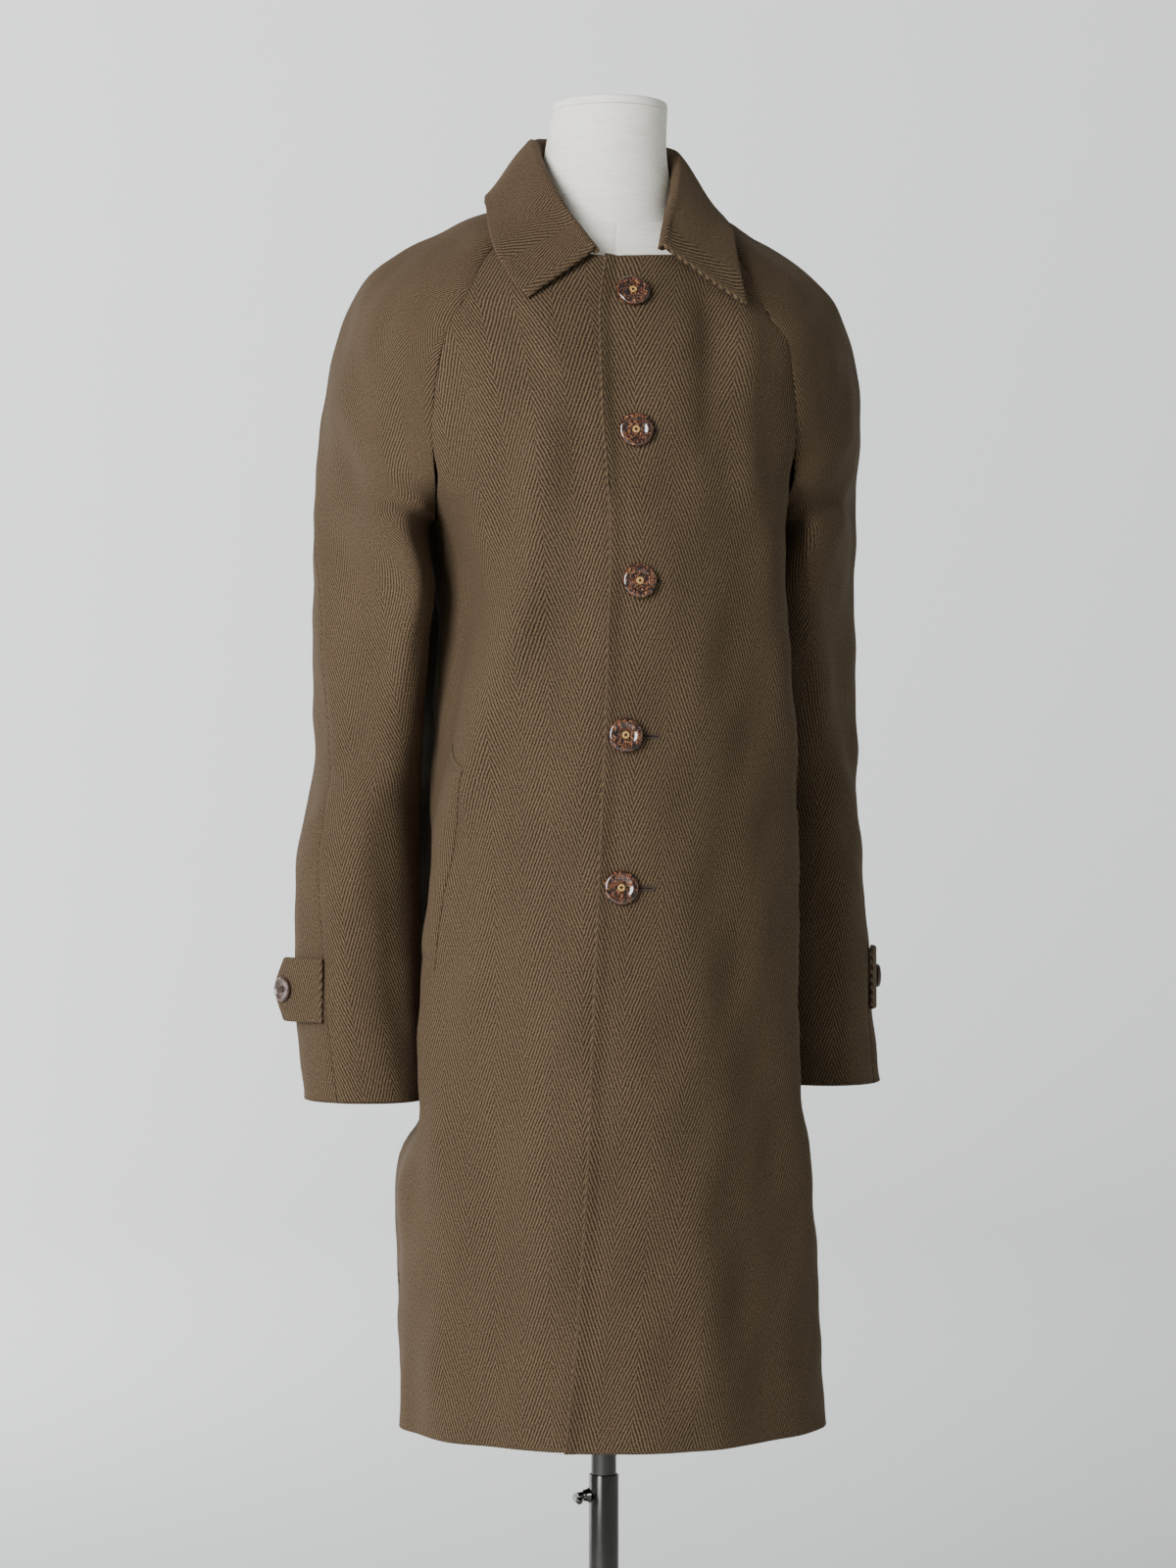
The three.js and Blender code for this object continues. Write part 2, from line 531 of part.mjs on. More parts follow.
function backSheet() {
  const sheet = [];
  const inward = [];
  const addRow = (left, right) => {
    const points = [];
    const directions = [];
    for (let j = 0; j <= backColumns; j += 1) {
      const share = j / backColumns;
      const angle = mix(left.angle, 360 + right.angle, share);
      const wrapped = angle > 180 ? angle - 360 : angle;
      const z = mix(left.z, right.z, share) + 4 * share * (1 - share) * left.sag;
      points.push(bodyPoint(wrapped, z, 0));
      directions.push(bodyInward(wrapped, z));
    }
    sheet.push(points);
    inward.push(directions);
  };
  for (let i = 0; i < skirtRows; i += 1) {
    const z = mix(hemHeight, underarmHeight, i / skirtRows);
    const seam = yoke[yokeRows].backAngle;
    addRow({ angle: seam, z, sag: 0 }, { angle: -seam, z });
  }
  for (let row = yokeRows; row >= 0; row -= 1) {
    addRow({ ...seamOnBody(1, "back", row), sag: 4 }, seamOnBody(-1, "back", row));
  }
  drawBack(sheet, inward, true);
  drawBack(sheet, inward, false);
  return { sheet, inward };
}

function bezier(points, t) {
  const s = 1 - t;
  return new THREE.Vector3()
    .addScaledVector(points[0], s * s * s)
    .addScaledVector(points[1], 3 * s * s * t)
    .addScaledVector(points[2], 3 * s * t * t)
    .addScaledVector(points[3], t * t * t);
}

// Seven points that steer a section of the sleeve in the shoulder, from the front seam over the top.
function yokeNet(side, index) {
  const entry = yoke[index];
  const centre = readTable(bodySections, "z", entry.z).centre;
  const front = seamOnBody(side, "front", index);
  const back = seamOnBody(side, "back", index);
  const clear = 1.4 * smoothStep((index - 4) / 4);
  const start = bodyPoint(front.angle, front.z, clear);
  const finish = bodyPoint(back.angle, back.z, clear);
  const ridge = new THREE.Vector3(centre + entry.lean + side * entry.out, entry.y, entry.z);
  return [
    start,
    start.clone().add(new THREE.Vector3(side * entry.fOut, -entry.fFwd, entry.fUp)),
    ridge.clone().add(new THREE.Vector3(-side * entry.rIn, -entry.rFwd, 0)),
    ridge,
    ridge.clone().add(new THREE.Vector3(0, entry.rBack, 0)),
    finish.clone().add(new THREE.Vector3(side * entry.bOut, entry.bAft, entry.bUp)),
    finish,
  ];
}

// The same seven points for a hanging part of the sleeve, from its ellipse.
function tubeNet(side, entry) {
  const halfWidth = (entry.outer - entry.inner) / 2;
  const centreX = side * (entry.outer + entry.inner) / 2;
  const onEllipse = (turn) => new THREE.Vector3(
    centreX + side * halfWidth * Math.sin(turn * degree),
    entry.y - entry.depth * Math.cos(turn * degree),
    entry.z,
  );
  const along = (turn) => new THREE.Vector3(
    side * halfWidth * Math.cos(turn * degree),
    entry.depth * Math.sin(turn * degree),
    0,
  );
  const firstHandle = (4 / 3) * Math.tan((entry.seamTurn + 90) * degree / 4);
  const secondHandle = (4 / 3) * Math.tan((270 - entry.seamTurn) * degree / 4);
  const start = onEllipse(-90);
  const ridge = onEllipse(entry.seamTurn);
  return [
    start,
    start.clone().addScaledVector(along(-90), firstHandle).add(new THREE.Vector3(0, -entry.full / 2, 0)),
    ridge.clone().addScaledVector(along(entry.seamTurn), -firstHandle)
      .add(new THREE.Vector3(-side * entry.full, -entry.full / 3, 0)),
    ridge,
    ridge.clone().addScaledVector(along(entry.seamTurn), secondHandle),
    start.clone().addScaledVector(along(-90), -secondHandle),
    start.clone(),
  ];
}

function sleeveFoldRise(folds, turn, z) {
  let rise = 0;
  for (const fold of folds) {
    const centre = fold.turn + fold.slope * (fold.z - z) / 100;
    const across = (turn - centre) / fold.spread;
    const along = (z - fold.z) / fold.length;
    rise += fold.rise * Math.exp(-(across * across) - along * along);
  }
  return rise;
}

function sleeveSheet(side) {
  const tubeTable = side < 0 ? rightSleeve : leftSleeve;
  const folds = side < 0 ? rightSleeveFolds : leftSleeveFolds;
  const nets = yoke.map((entry, index) => yokeNet(side, index));
  for (const entry of tubeTable) {
    nets.push(tubeNet(side, entry));
  }
  const lastNet = nets.length - 1;
  const places = [];
  for (let row = 0; row <= yokeRows; row += 1) {
    places.push(row);
  }
  for (let i = 1; i <= sleeveTubeRows; i += 1) {
    places.push(mix(yokeRows, lastNet, i / sleeveTubeRows));
  }
  const columns = 2 * sleeveHalfColumns;
  const sheet = places.map((place) => {
    const index = Math.min(lastNet - 1, Math.floor(place));
    const t = place - index;
    const net = nets[index].map((point, k) => {
      const before = nets[Math.max(0, index - 1)][k];
      const next = nets[index + 1][k];
      const after = nets[Math.min(lastNet, index + 2)][k];
      const startSlope = next.clone().sub(before).multiplyScalar(0.5);
      const endSlope = after.clone().sub(point).multiplyScalar(0.5);
      return new THREE.Vector3()
        .addScaledVector(point, 2 * t * t * t - 3 * t * t + 1)
        .addScaledVector(startSlope, t * t * t - 2 * t * t + t)
        .addScaledVector(next, -2 * t * t * t + 3 * t * t)
        .addScaledVector(endSlope, t * t * t - t * t);
    });
    const row = [];
    for (let j = 0; j <= columns; j += 1) {
      const half = j / sleeveHalfColumns;
      row.push(half <= 1 ? bezier(net.slice(0, 4), half) : bezier(net.slice(3, 7), half - 1));
    }
    return row;
  });
  const inward = sheetInward(sheet, side, yokeRows);
  for (let i = 0; i < sheet.length; i += 1) {
    const blend = smoothStep((i - 5) / 4);
    for (let j = 1; j < columns; j += 1) {
      const half = j / sleeveHalfColumns;
      const turn = half <= 1 ? mix(-90, 75, half) : mix(75, 270, half - 1);
      const ends = smoothStep(Math.min(j, columns - j) / 3);
      const rise = sleeveFoldRise(folds, turn, sheet[i][j].z) * blend * ends;
      sheet[i][j].addScaledVector(inward[i][j], -rise);
    }
  }
  const seams = { front: [], back: [] };
  for (let row = 0; row <= yokeRows; row += 1) {
    const front = seamOnBody(side, "front", row);
    const back = seamOnBody(side, "back", row);
    seams.front.push(bodyInward(front.angle, front.z));
    seams.back.push(bodyInward(back.angle, back.z));
  }
  const finalInward = sheetInward(sheet, side, yokeRows);
  for (let row = 0; row < yokeRows; row += 1) {
    const own = smoothStep((row - 4) / 3);
    finalInward[row][0].multiplyScalar(own).addScaledVector(seams.front[row], 1 - own).normalize();
    finalInward[row][columns].multiplyScalar(own).addScaledVector(seams.back[row], 1 - own).normalize();
  }
  return { sheet, inward: finalInward };
}

// Inward directions of a sheet from its neighbours. Rows from closedFrom on close on themselves.
function sheetInward(sheet, side, closedFrom) {
  const rows = sheet.length;
  const last = sheet[0].length - 1;
  return sheet.map((row, i) => row.map((point, j) => {
    const closed = i >= closedFrom;
    const left = j > 0 ? j - 1 : (closed ? last - 1 : 0);
    const right = j < last ? j + 1 : (closed ? 1 : last);
    const across = row[right].clone().sub(row[left]);
    const down = sheet[Math.min(rows - 1, i + 1)][j].clone().sub(sheet[Math.max(0, i - 1)][j]);
    return across.cross(down).multiplyScalar(side).normalize();
  }));
}

function columnsOf(grid, from, to) {
  return grid.map((row) => row.slice(from, to + 1).map((entry) => entry.clone()));
}

const under = frontSheet(-1, false);
const upper = frontSheet(1, true);
const back = backSheet();
addClothWall("right_front", under.sheet, under.inward);
addClothWall("left_front", upper.sheet, upper.inward);
addClothWall("back", back.sheet, back.inward);

const sleeves = [];
for (const [side, name] of [[-1, "right"], [1, "left"]]) {
  const sleeve = sleeveSheet(side);
  sleeves.push(sleeve);
  for (const [part, from, to] of [["front", 0, sleeveHalfColumns], ["back", sleeveHalfColumns, 2 * sleeveHalfColumns]]) {
    const sheet = columnsOf(sleeve.sheet, from, to);
    const inward = columnsOf(sleeve.inward, from, to);
    drawBack(sheet, inward, true);
    drawBack(sheet, inward, false);
    addClothWall(`${name}_sleeve_${part}`, sheet, inward);
  }
}

// The neckline, point by point round the neck, half way through the cloth.
function necklinePoints(panels) {
  const line = [];
  for (const { sheet, inward } of panels) {
    sheet.forEach((point, j) => line.push(point.clone().addScaledVector(inward[j], clothThickness / 2)));
  }
  return line.map((point) => {
    const turn = Math.atan2(point.x, -point.y) / degree;
    return { turn: turn > 12 ? turn - 360 : turn, x: point.x, y: point.y, z: point.z };
  }).sort((a, b) => b.turn - a.turn);
}

function necklineAt(line, turn) {
  let index = 0;
  while (index < line.length - 2 && line[index + 1].turn > turn) {
    index += 1;
  }
  const [from, to] = [line[index], line[index + 1]];
  const share = Math.min(1, Math.max(0, (turn - from.turn) / (to.turn - from.turn)));
  return new THREE.Vector3(mix(from.x, to.x, share), mix(from.y, to.y, share), mix(from.z, to.z, share));
}

function collarSection(line, station) {
  const seam = necklineAt(line, station.turn);
  seam.z += station.lift;
  const roll = new THREE.Vector3(station.rollX, station.rollY, station.rollZ);
  const edge = new THREE.Vector3(station.edgeX, station.edgeY, station.edgeZ);
  const outwards = edge.clone().sub(seam).setZ(0).normalize();
  const drop = new THREE.Vector3(0, 0, -station.bend);
  return new THREE.CatmullRomCurve3([
    seam,
    roll.clone().addScaledVector(outwards, -station.bend).add(drop),
    roll,
    roll.clone().addScaledVector(outwards, station.bend).add(drop),
    edge,
  ], false, "centripetal");
}

function collarSheet(line) {
  const sheet = [];
  const first = collarStations[0].turn;
  const last = collarStations[collarStations.length - 1].turn;
  for (let i = 0; i <= collarRows; i += 1) {
    const curve = collarSection(line, readTable(collarStations, "turn", mix(first, last, i / collarRows)));
    sheet.push(curve.getPoints(collarColumns));
  }
  return sheet;
}

const sheetEnd = under.sheet.length - 1;
const neckPanels = [
  { sheet: under.sheet[sheetEnd], inward: under.inward[sheetEnd] },
  { sheet: upper.sheet[sheetEnd].slice(3), inward: upper.inward[sheetEnd].slice(3) },
  { sheet: back.sheet[sheetEnd], inward: back.inward[sheetEnd] },
  ...sleeves.map((sleeve) => ({ sheet: sleeve.sheet[0], inward: sleeve.inward[0] })),
];
const neckline = necklinePoints(neckPanels);
const collar = collarSheet(neckline);
const collarInward = sheetInward(collar, 1, collar.length);
addMesh(
  "collar",
  wallSolid(
    offsetSheet(collar, collarInward, -collarThickness / 2),
    offsetSheet(collar, collarInward, collarThickness / 2),
  ),
  looks.cloth,
);

// A point of a panel between its grid points, with its inward direction.
function spotOnSheet(panel, row, column) {
  const i = Math.min(panel.sheet.length - 2, Math.max(0, Math.floor(row)));
  const j = Math.min(panel.sheet[0].length - 2, Math.max(0, Math.floor(column)));
  const [a, b] = [row - i, column - j];
  const blend = (grid) => {
    const middle = b >= a ? grid[i][j + 1] : grid[i + 1][j];
    return grid[i][j].clone().multiplyScalar(1 - Math.max(a, b))
      .addScaledVector(middle, Math.abs(b - a))
      .addScaledVector(grid[i + 1][j + 1], Math.min(a, b));
  };
  return { point: blend(panel.sheet), inward: blend(panel.inward).normalize() };
}

function nearestSpot(panel, x, z) {
  const steps = 8;
  let best = null;
  for (let a = 0; a <= (panel.sheet.length - 1) * steps; a += 1) {
    for (let b = 0; b <= (panel.sheet[0].length - 1) * steps; b += 1) {
      const spot = spotOnSheet(panel, a / steps, b / steps);
      const distance = Math.hypot(spot.point.x - x, spot.point.z - z);
      if (!best || distance < best.distance) {
        best = { ...spot, distance };
      }
    }
  }
  return best;
}

function buttonGeometry(diameter, thickness) {
  const radius = diameter / 2;
  const profile = [
    [0, 0],
    [0.9 * radius, 0],
    [radius, 0.25 * thickness],
    [radius, 0.62 * thickness],
    [0.9 * radius, 0.96 * thickness],
    [0.76 * radius, thickness],
    [0.6 * radius, 0.7 * thickness],
    [0, 0.62 * thickness],
  ];
  return new THREE.LatheGeometry(profile.map(([r, z]) => new THREE.Vector2(r, z)), buttonSegments);
}

function addButton(name, diameter, thickness, centre, outward) {
  const geometry = buttonGeometry(diameter, thickness);
  const turn = new THREE.Quaternion().setFromUnitVectors(new THREE.Vector3(0, 1, 0), outward);
  geometry.applyQuaternion(turn);
  geometry.translate(centre.x, centre.y, centre.z);
  addMesh(name, geometry, looks.button);
}

frontButtons.forEach((button, index) => {
  const spot = nearestSpot(upper, button.x, button.z);
  const outward = spot.inward.clone().negate();
  const centre = new THREE.Vector3(button.x, spot.point.y, button.z).addScaledVector(outward, buttonSeat);
  addButton(`front_button_${index + 1}`, buttonDiameter, buttonThickness, centre, outward);
});

// A welt lies on the outside of a front, made from the points of that front.
function addWelt(welt) {
  const panel = welt.side < 0 ? under : upper;
  const outer = [];
  const inner = [];
  for (let i = 0; i <= weltRows; i += 1) {
    const down = i / weltRows;
    outer.push([]);
    inner.push([]);
    for (let j = 0; j <= weltColumns; j += 1) {
      const round = j / weltColumns;
      const z = mix(welt.topZ, welt.bottomZ, down) + weltRise * round;
      const angle = mix(welt.topAngle, welt.bottomAngle, down) + weltTurn * round;
      const edgeX = welt.side < 0 ? underEdgeX : readTable(frontEdge, "z", z).x;
      const edgeAngle = angleAtX(edgeX, z);
      const outerAngle = welt.side * yoke[yokeRows].frontAngle;
      const column = frontColumns * (welt.side * angle - edgeAngle) / (outerAngle - edgeAngle);
      const row = skirtRows * (z - hemHeight) / (underarmHeight - hemHeight);
      const spot = spotOnSheet(panel, row, column);
      inner[i].push(spot.point.clone().addScaledVector(spot.inward, -weltSeat));
      outer[i].push(spot.point.clone().addScaledVector(spot.inward, -weltSeat - weltThickness));
    }
  }
  addMesh(welt.name, wallSolid(outer, inner), looks.cloth);
}

welts.forEach(addWelt);

// A tab starts on the overarm seam, runs off round the outside of the cuff and ends in a point.
function addTab(tab) {
  const sleeve = tab.side < 0 ? sleeves[0] : sleeves[1];
  const table = tab.side < 0 ? rightSleeve : leftSleeve;
  const entry = readTable(table, "z", tab.z);
  const turn = entry.seamTurn * degree;
  const halfWidth = (entry.outer - entry.inner) / 2;
  const startAngle = Math.atan2(entry.depth * Math.sin(turn), halfWidth * Math.cos(turn));
  const base = new THREE.Vector3(
    tab.side * ((entry.outer + entry.inner) / 2 + halfWidth * Math.sin(turn)),
    entry.y - entry.depth * Math.cos(turn),
    tab.z,
  );
  const pathPoint = (share) => {
    const place = base.clone();
    const steps = 12;
    for (let k = 0; k < steps; k += 1) {
      const angle = startAngle + tab.bend * degree * share * (k + 0.5) / steps;
      const length = tab.length * share / steps;
      place.add(new THREE.Vector3(tab.side * Math.cos(angle) * length, Math.sin(angle) * length, 0));
    }
    return place;
  };
  const outwardAt = (share) => {
    const angle = startAngle + tab.bend * degree * share;
    return new THREE.Vector3(tab.side * Math.sin(angle), -Math.cos(angle), 0);
  };
  const sheet = [];
  const inward = [];
  for (let i = 0; i <= tabRows; i += 1) {
    sheet.push([]);
    inward.push([]);
    for (let j = 0; j <= tabColumns; j += 1) {
      const share = j / tabColumns;
      const left = tab.length * (1 - share);
      const width = left >= tabPointLength ? tabHalfWidth : mix(2, tabHalfWidth - 2, left / tabPointLength);
      const point = pathPoint(share);
      point.z += mix(-width, width, i / tabRows);
      sheet[i].push(point.addScaledVector(outwardAt(share), tab.stand + tabThickness));
      inward[i].push(outwardAt(share).negate());
    }
  }
  addMesh(`${tab.name}_cuff_tab`, wallSolid(sheet, offsetSheet(sheet, inward, tabThickness)), looks.cloth);
  const outward = outwardAt(tabButtonPlace);
  const centre = pathPoint(tabButtonPlace).addScaledVector(outward, tab.stand + tabThickness + buttonSeat);
  addButton(`${tab.name}_tab_button`, tabButtonDiameter, tabButtonThickness, centre, outward);
}

tabs.forEach(addTab);

function manifoldFrom(geometry) {
  const bare = geometry.clone();
  bare.deleteAttribute("normal");
  bare.deleteAttribute("uv");
  const merged = mergeVertices(bare, 1e-4);
  const vertProperties = new Float32Array(merged.attributes.position.array);
  const triVerts = new Uint32Array(merged.index.array);
  return new wasm.Manifold(new wasm.Mesh({ numProp: 3, vertProperties, triVerts }));
}

function geometryFrom(solid) {
  const mesh = solid.getMesh();
  const geometry = new THREE.BufferGeometry();
  geometry.setAttribute("position", new THREE.Float32BufferAttribute(mesh.vertProperties, mesh.numProp));
  geometry.setIndex(new THREE.Uint32BufferAttribute(mesh.triVerts, 1));
  geometry.computeVertexNormals();
  return geometry;
}

// A solid made of stacked level rings, closed by a flat cap at each end.
function stackedSolid(rings) {
  const count = rings[0].length;
  const positions = rings.flat();
  const triangles = [];
  for (let i = 0; i < rings.length - 1; i += 1) {
    for (let j = 0; j < count; j += 1) {
      const next = (j + 1) % count;
      const [a, b] = [i * count + j, i * count + next];
      triangles.push(a, b, b + count, a, b + count, a + count);
    }
  }
  for (const [ring, order] of [[0, -1], [rings.length - 1, 1]]) {
    const middle = positions.length;
    const centre = rings[ring].reduce((sum, point) => sum.add(point), new THREE.Vector3());
    positions.push(centre.divideScalar(count));
    for (let j = 0; j < count; j += 1) {
      const [a, b] = [ring * count + j, ring * count + (j + 1) % count];
      triangles.push(...(order > 0 ? [a, b, middle] : [b, a, middle]));
    }
  }
  return solidFromFacets(positions, triangles);
}

function formRing(section, inset) {
  const ring = [];
  for (let j = 0; j < formSegments; j += 1) {
    const angle = 2 * Math.PI * j / formSegments;
    const depth = Math.cos(angle) > 0 ? section.front : section.back;
    ring.push(new THREE.Vector3(
      section.x + Math.sin(angle) * (section.half - inset),
      section.y - Math.cos(angle) * (depth - inset),
      section.z,
    ));
  }
  return ring;
}

function cylinder(radius, from, to) {
  const geometry = new THREE.CylinderGeometry(radius, radius, to - from, tubeSegments);
  geometry.rotateX(Math.PI / 2);
  geometry.translate(0, 0, (from + to) / 2);
  return geometry;
}

function latheUp(points) {
  const geometry = new THREE.LatheGeometry(points.map(([r, z]) => new THREE.Vector2(r, z)), tubeSegments);
  geometry.rotateX(Math.PI / 2);
  return geometry;
}

const torso = manifoldFrom(stackedSolid(formSections.map((section) => formRing(section, 0))));
const socket = manifoldFrom(cylinder(poleRadius + tubeClearance, formSections[0].z - 10, poleTop + 1));
addMesh("form_torso", geometryFrom(torso.subtract(socket)), looks.linen);

const neckTop = formSections[formSections.length - 1];
const capRings = [[0.4, 0.6], [1.4, 0], [neckCapThickness - 2.4, 0], [neckCapThickness, 3.4]]
  .map(([rise, inset]) => formRing({ ...neckTop, z: neckTop.z + rise }, inset));
addMesh("form_neck_cap", stackedSolid(capRings), looks.linen);

addMesh("pole", cylinder(poleRadius, poleBottom, poleTop), looks.steel);

const boreRadius = poleRadius + tubeClearance;
const tube = manifoldFrom(latheUp([
  [boreRadius, tubeBottom],
  [tubeRadius, tubeBottom],
  [tubeRadius, tubeTop],
  [boreRadius, tubeTop],
  [boreRadius, tubeBottom],
]));
const bossGeometry = new THREE.CylinderGeometry(4.6, bossRadius, bossReach - poleRadius, tubeSegments);
bossGeometry.rotateZ(Math.PI / 2);
bossGeometry.translate(-(bossReach + poleRadius) / 2, 0, screwHeight);
const holeGeometry = new THREE.CylinderGeometry(screwRadius + 0.35, screwRadius + 0.35, 20, tubeSegments);
holeGeometry.rotateZ(Math.PI / 2);
holeGeometry.translate(-16, 0, screwHeight);
const tubeSolid = tube
  .add(manifoldFrom(bossGeometry))
  .subtract(manifoldFrom(cylinder(boreRadius, tubeBottom - 5, tubeTop + 5)))
  .subtract(manifoldFrom(holeGeometry));
addMesh("outer_tube", geometryFrom(tubeSolid), looks.steel);

const screwPath = new THREE.CatmullRomCurve3([
  new THREE.Vector3(-poleRadius - 0.45, 0, screwHeight),
  new THREE.Vector3(-bossReach, 0, screwHeight),
  new THREE.Vector3(-handleReach + 3, -0.8, screwHeight),
  new THREE.Vector3(-handleReach, -6, screwHeight),
  new THREE.Vector3(-handleReach, -handleLength, screwHeight),
], false, "centripetal");
const rod = new THREE.Shape().absarc(0, 0, screwRadius, 0, 2 * Math.PI);
addMesh(
  "clamp_screw",
  new THREE.ExtrudeGeometry(rod, { steps: 16, curveSegments: 7, extrudePath: screwPath }),
  looks.steel,
);

addMesh("base_plate", new THREE.LatheGeometry([
  [0, 0],
  [basePlateRadius - 2, 0],
  [basePlateRadius, 2],
  [basePlateRadius, basePlateThickness - 2],
  [basePlateRadius - 2, basePlateThickness],
  [hubRadius + 2, basePlateThickness + 2],
  [hubRadius, hubTop],
  [tubeRadius + tubeClearance, hubTop],
  [tubeRadius + tubeClearance, tubeBottom - tubeClearance],
  [0, tubeBottom - tubeClearance],
].map(([r, z]) => new THREE.Vector2(r, z)), 2 * tubeSegments).rotateX(Math.PI / 2), looks.steel);

export default group;
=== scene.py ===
import math

import bmesh
import bpy
import numpy as np
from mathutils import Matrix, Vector


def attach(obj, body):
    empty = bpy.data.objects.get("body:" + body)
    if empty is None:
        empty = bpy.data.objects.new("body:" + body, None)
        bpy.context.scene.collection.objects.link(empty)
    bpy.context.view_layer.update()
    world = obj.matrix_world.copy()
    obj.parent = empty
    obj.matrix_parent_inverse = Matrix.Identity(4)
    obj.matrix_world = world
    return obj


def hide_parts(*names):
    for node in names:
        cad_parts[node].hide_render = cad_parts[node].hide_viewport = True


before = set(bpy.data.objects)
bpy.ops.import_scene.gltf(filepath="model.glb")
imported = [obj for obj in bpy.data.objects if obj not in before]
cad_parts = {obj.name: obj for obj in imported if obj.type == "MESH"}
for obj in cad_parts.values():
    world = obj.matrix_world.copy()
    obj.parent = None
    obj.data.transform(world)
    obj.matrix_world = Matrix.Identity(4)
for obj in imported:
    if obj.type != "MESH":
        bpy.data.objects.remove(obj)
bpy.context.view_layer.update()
print("frame loaded")

# The sheets are worked out in millimetres from the same tables as the solids, then put in metres.
mm = 0.001
hemHeight = 400
underarmHeight = 1150
neckOpeningHeight = 1370
skirtRows = 13
yokeRows = 9


def makeTable(names, rows):
    values = np.array(rows, float)
    values = values[np.argsort(values[:, 0])]
    return {name: values[:, i] for i, name in enumerate(names.split())}


def hermite(t, start, startSlope, end, endSlope):
    return ((2 * t**3 - 3 * t**2 + 1) * start + (t**3 - 2 * t**2 + t) * startSlope
            + (3 * t**2 - 2 * t**3) * end + (t**3 - t**2) * endSlope)


def readTable(table, place):  # every column at a place along the first one, on a smooth curve
    names = list(table)
    key = table[names[0]]
    last = len(key) - 1
    at = np.clip(np.asarray(place, float), key[0], key[-1])
    index = np.clip(np.searchsorted(key, at, side="right") - 1, 0, last - 1)
    before, after = np.maximum(np.arange(last + 1) - 1, 0), np.minimum(np.arange(last + 1) + 1, last)
    span = key[index + 1] - key[index]
    t = (at - key[index]) / span
    result = {}
    for name in names:
        column = table[name]
        slope = (column[after] - column[before]) / (key[after] - key[before])
        result[name] = hermite(t, column[index], slope[index] * span,
                               column[index + 1], slope[index + 1] * span)
    return result


def smoothStep(value):
    t = np.clip(value, 0, 1)
    return t * t * (3 - 2 * t)


def mix(start, end, share):
    return start + (end - start) * share


def unit(vectors):
    return vectors / np.maximum(np.linalg.norm(vectors, axis=-1, keepdims=True), 1e-9)


def vec(x, y, z):
    return np.stack(np.broadcast_arrays(np.asarray(x, float), y, z), axis=-1)


# Spacing from 0 to 1 that is close near both ends, for edges that roll and seams that dip.
def closeEnds(count, length, near=(0, 2.4, 4.2, 6.6, 10, 15)):
    edge = np.array(near) / length
    middle = np.linspace(edge[-1], 1 - edge[-1], count - 2 * len(near) + 2)
    return np.concatenate([edge[:-1], middle, 1 - edge[:-1][::-1]])


bodySections = makeTable("z centre half front back", [
    (400, 7, 182, 175, 178), (480, 4, 181, 175, 177), (600, 1, 181, 175, 176), (750, 0, 178, 175, 174),
    (900, 0, 177, 172, 170), (1000, 0, 176, 168, 167), (1080, 0, 175, 165, 166), (1150, -3, 180, 162, 166),
    (1182, -5, 187, 160, 166), (1212, -6, 193, 158, 165), (1250, -7, 203, 153, 160), (1285, -7, 212, 144, 153),
    (1310, -7, 212, 135, 146), (1338, -8, 200, 121, 136), (1379, -4, 148, 96, 116), (1402, -1, 100, 72, 100),
    (1440, 0, 66, 50, 70)])
hollowNames = "z start full back end depth"
rightHollow = makeTable(hollowNames, [
    (400, 66, 88, 107, 128, 0), (480, 66, 88, 107, 128, 0), (560, 66, 88, 107, 128, 1), (605, 66, 88, 107, 128, 0),
    (640, 66, 88, 107, 128, 13), (662, 66, 88, 107, 128, 35.5), (690, 66, 88, 107, 128, 37),
    (750, 66, 90, 102, 123, 34), (875, 57, 82, 102, 123, 30.5), (980, 47, 72, 102, 123, 32),
    (1040, 38, 67, 102, 123, 33), (1100, 31, 66, 105, 126, 35), (1150, 35, 76, 105, 126, 37),
    (1182, 43, 84, 108, 132, 32), (1260, 43, 86, 108, 132, 10), (1340, 43, 86, 108, 132, 0)])
leftHollow = makeTable(hollowNames, [
    (400, 58, 80, 112, 140, 1), (480, 58, 80, 112, 140, 3), (560, 56, 80, 112, 140, 6), (640, 55, 80, 112, 140, 24),
    (690, 54, 80, 112, 140, 39), (750, 54, 81, 112, 140, 43), (875, 54, 82, 112, 142, 51),
    (980, 52, 82, 113, 142, 52), (1040, 49, 82, 113, 142, 51), (1100, 46, 82, 112, 140, 49),
    (1150, 44, 82, 110, 136, 45), (1182, 43, 84, 108, 134, 37), (1260, 43, 86, 108, 132, 10),
    (1340, 43, 86, 108, 132, 0)])

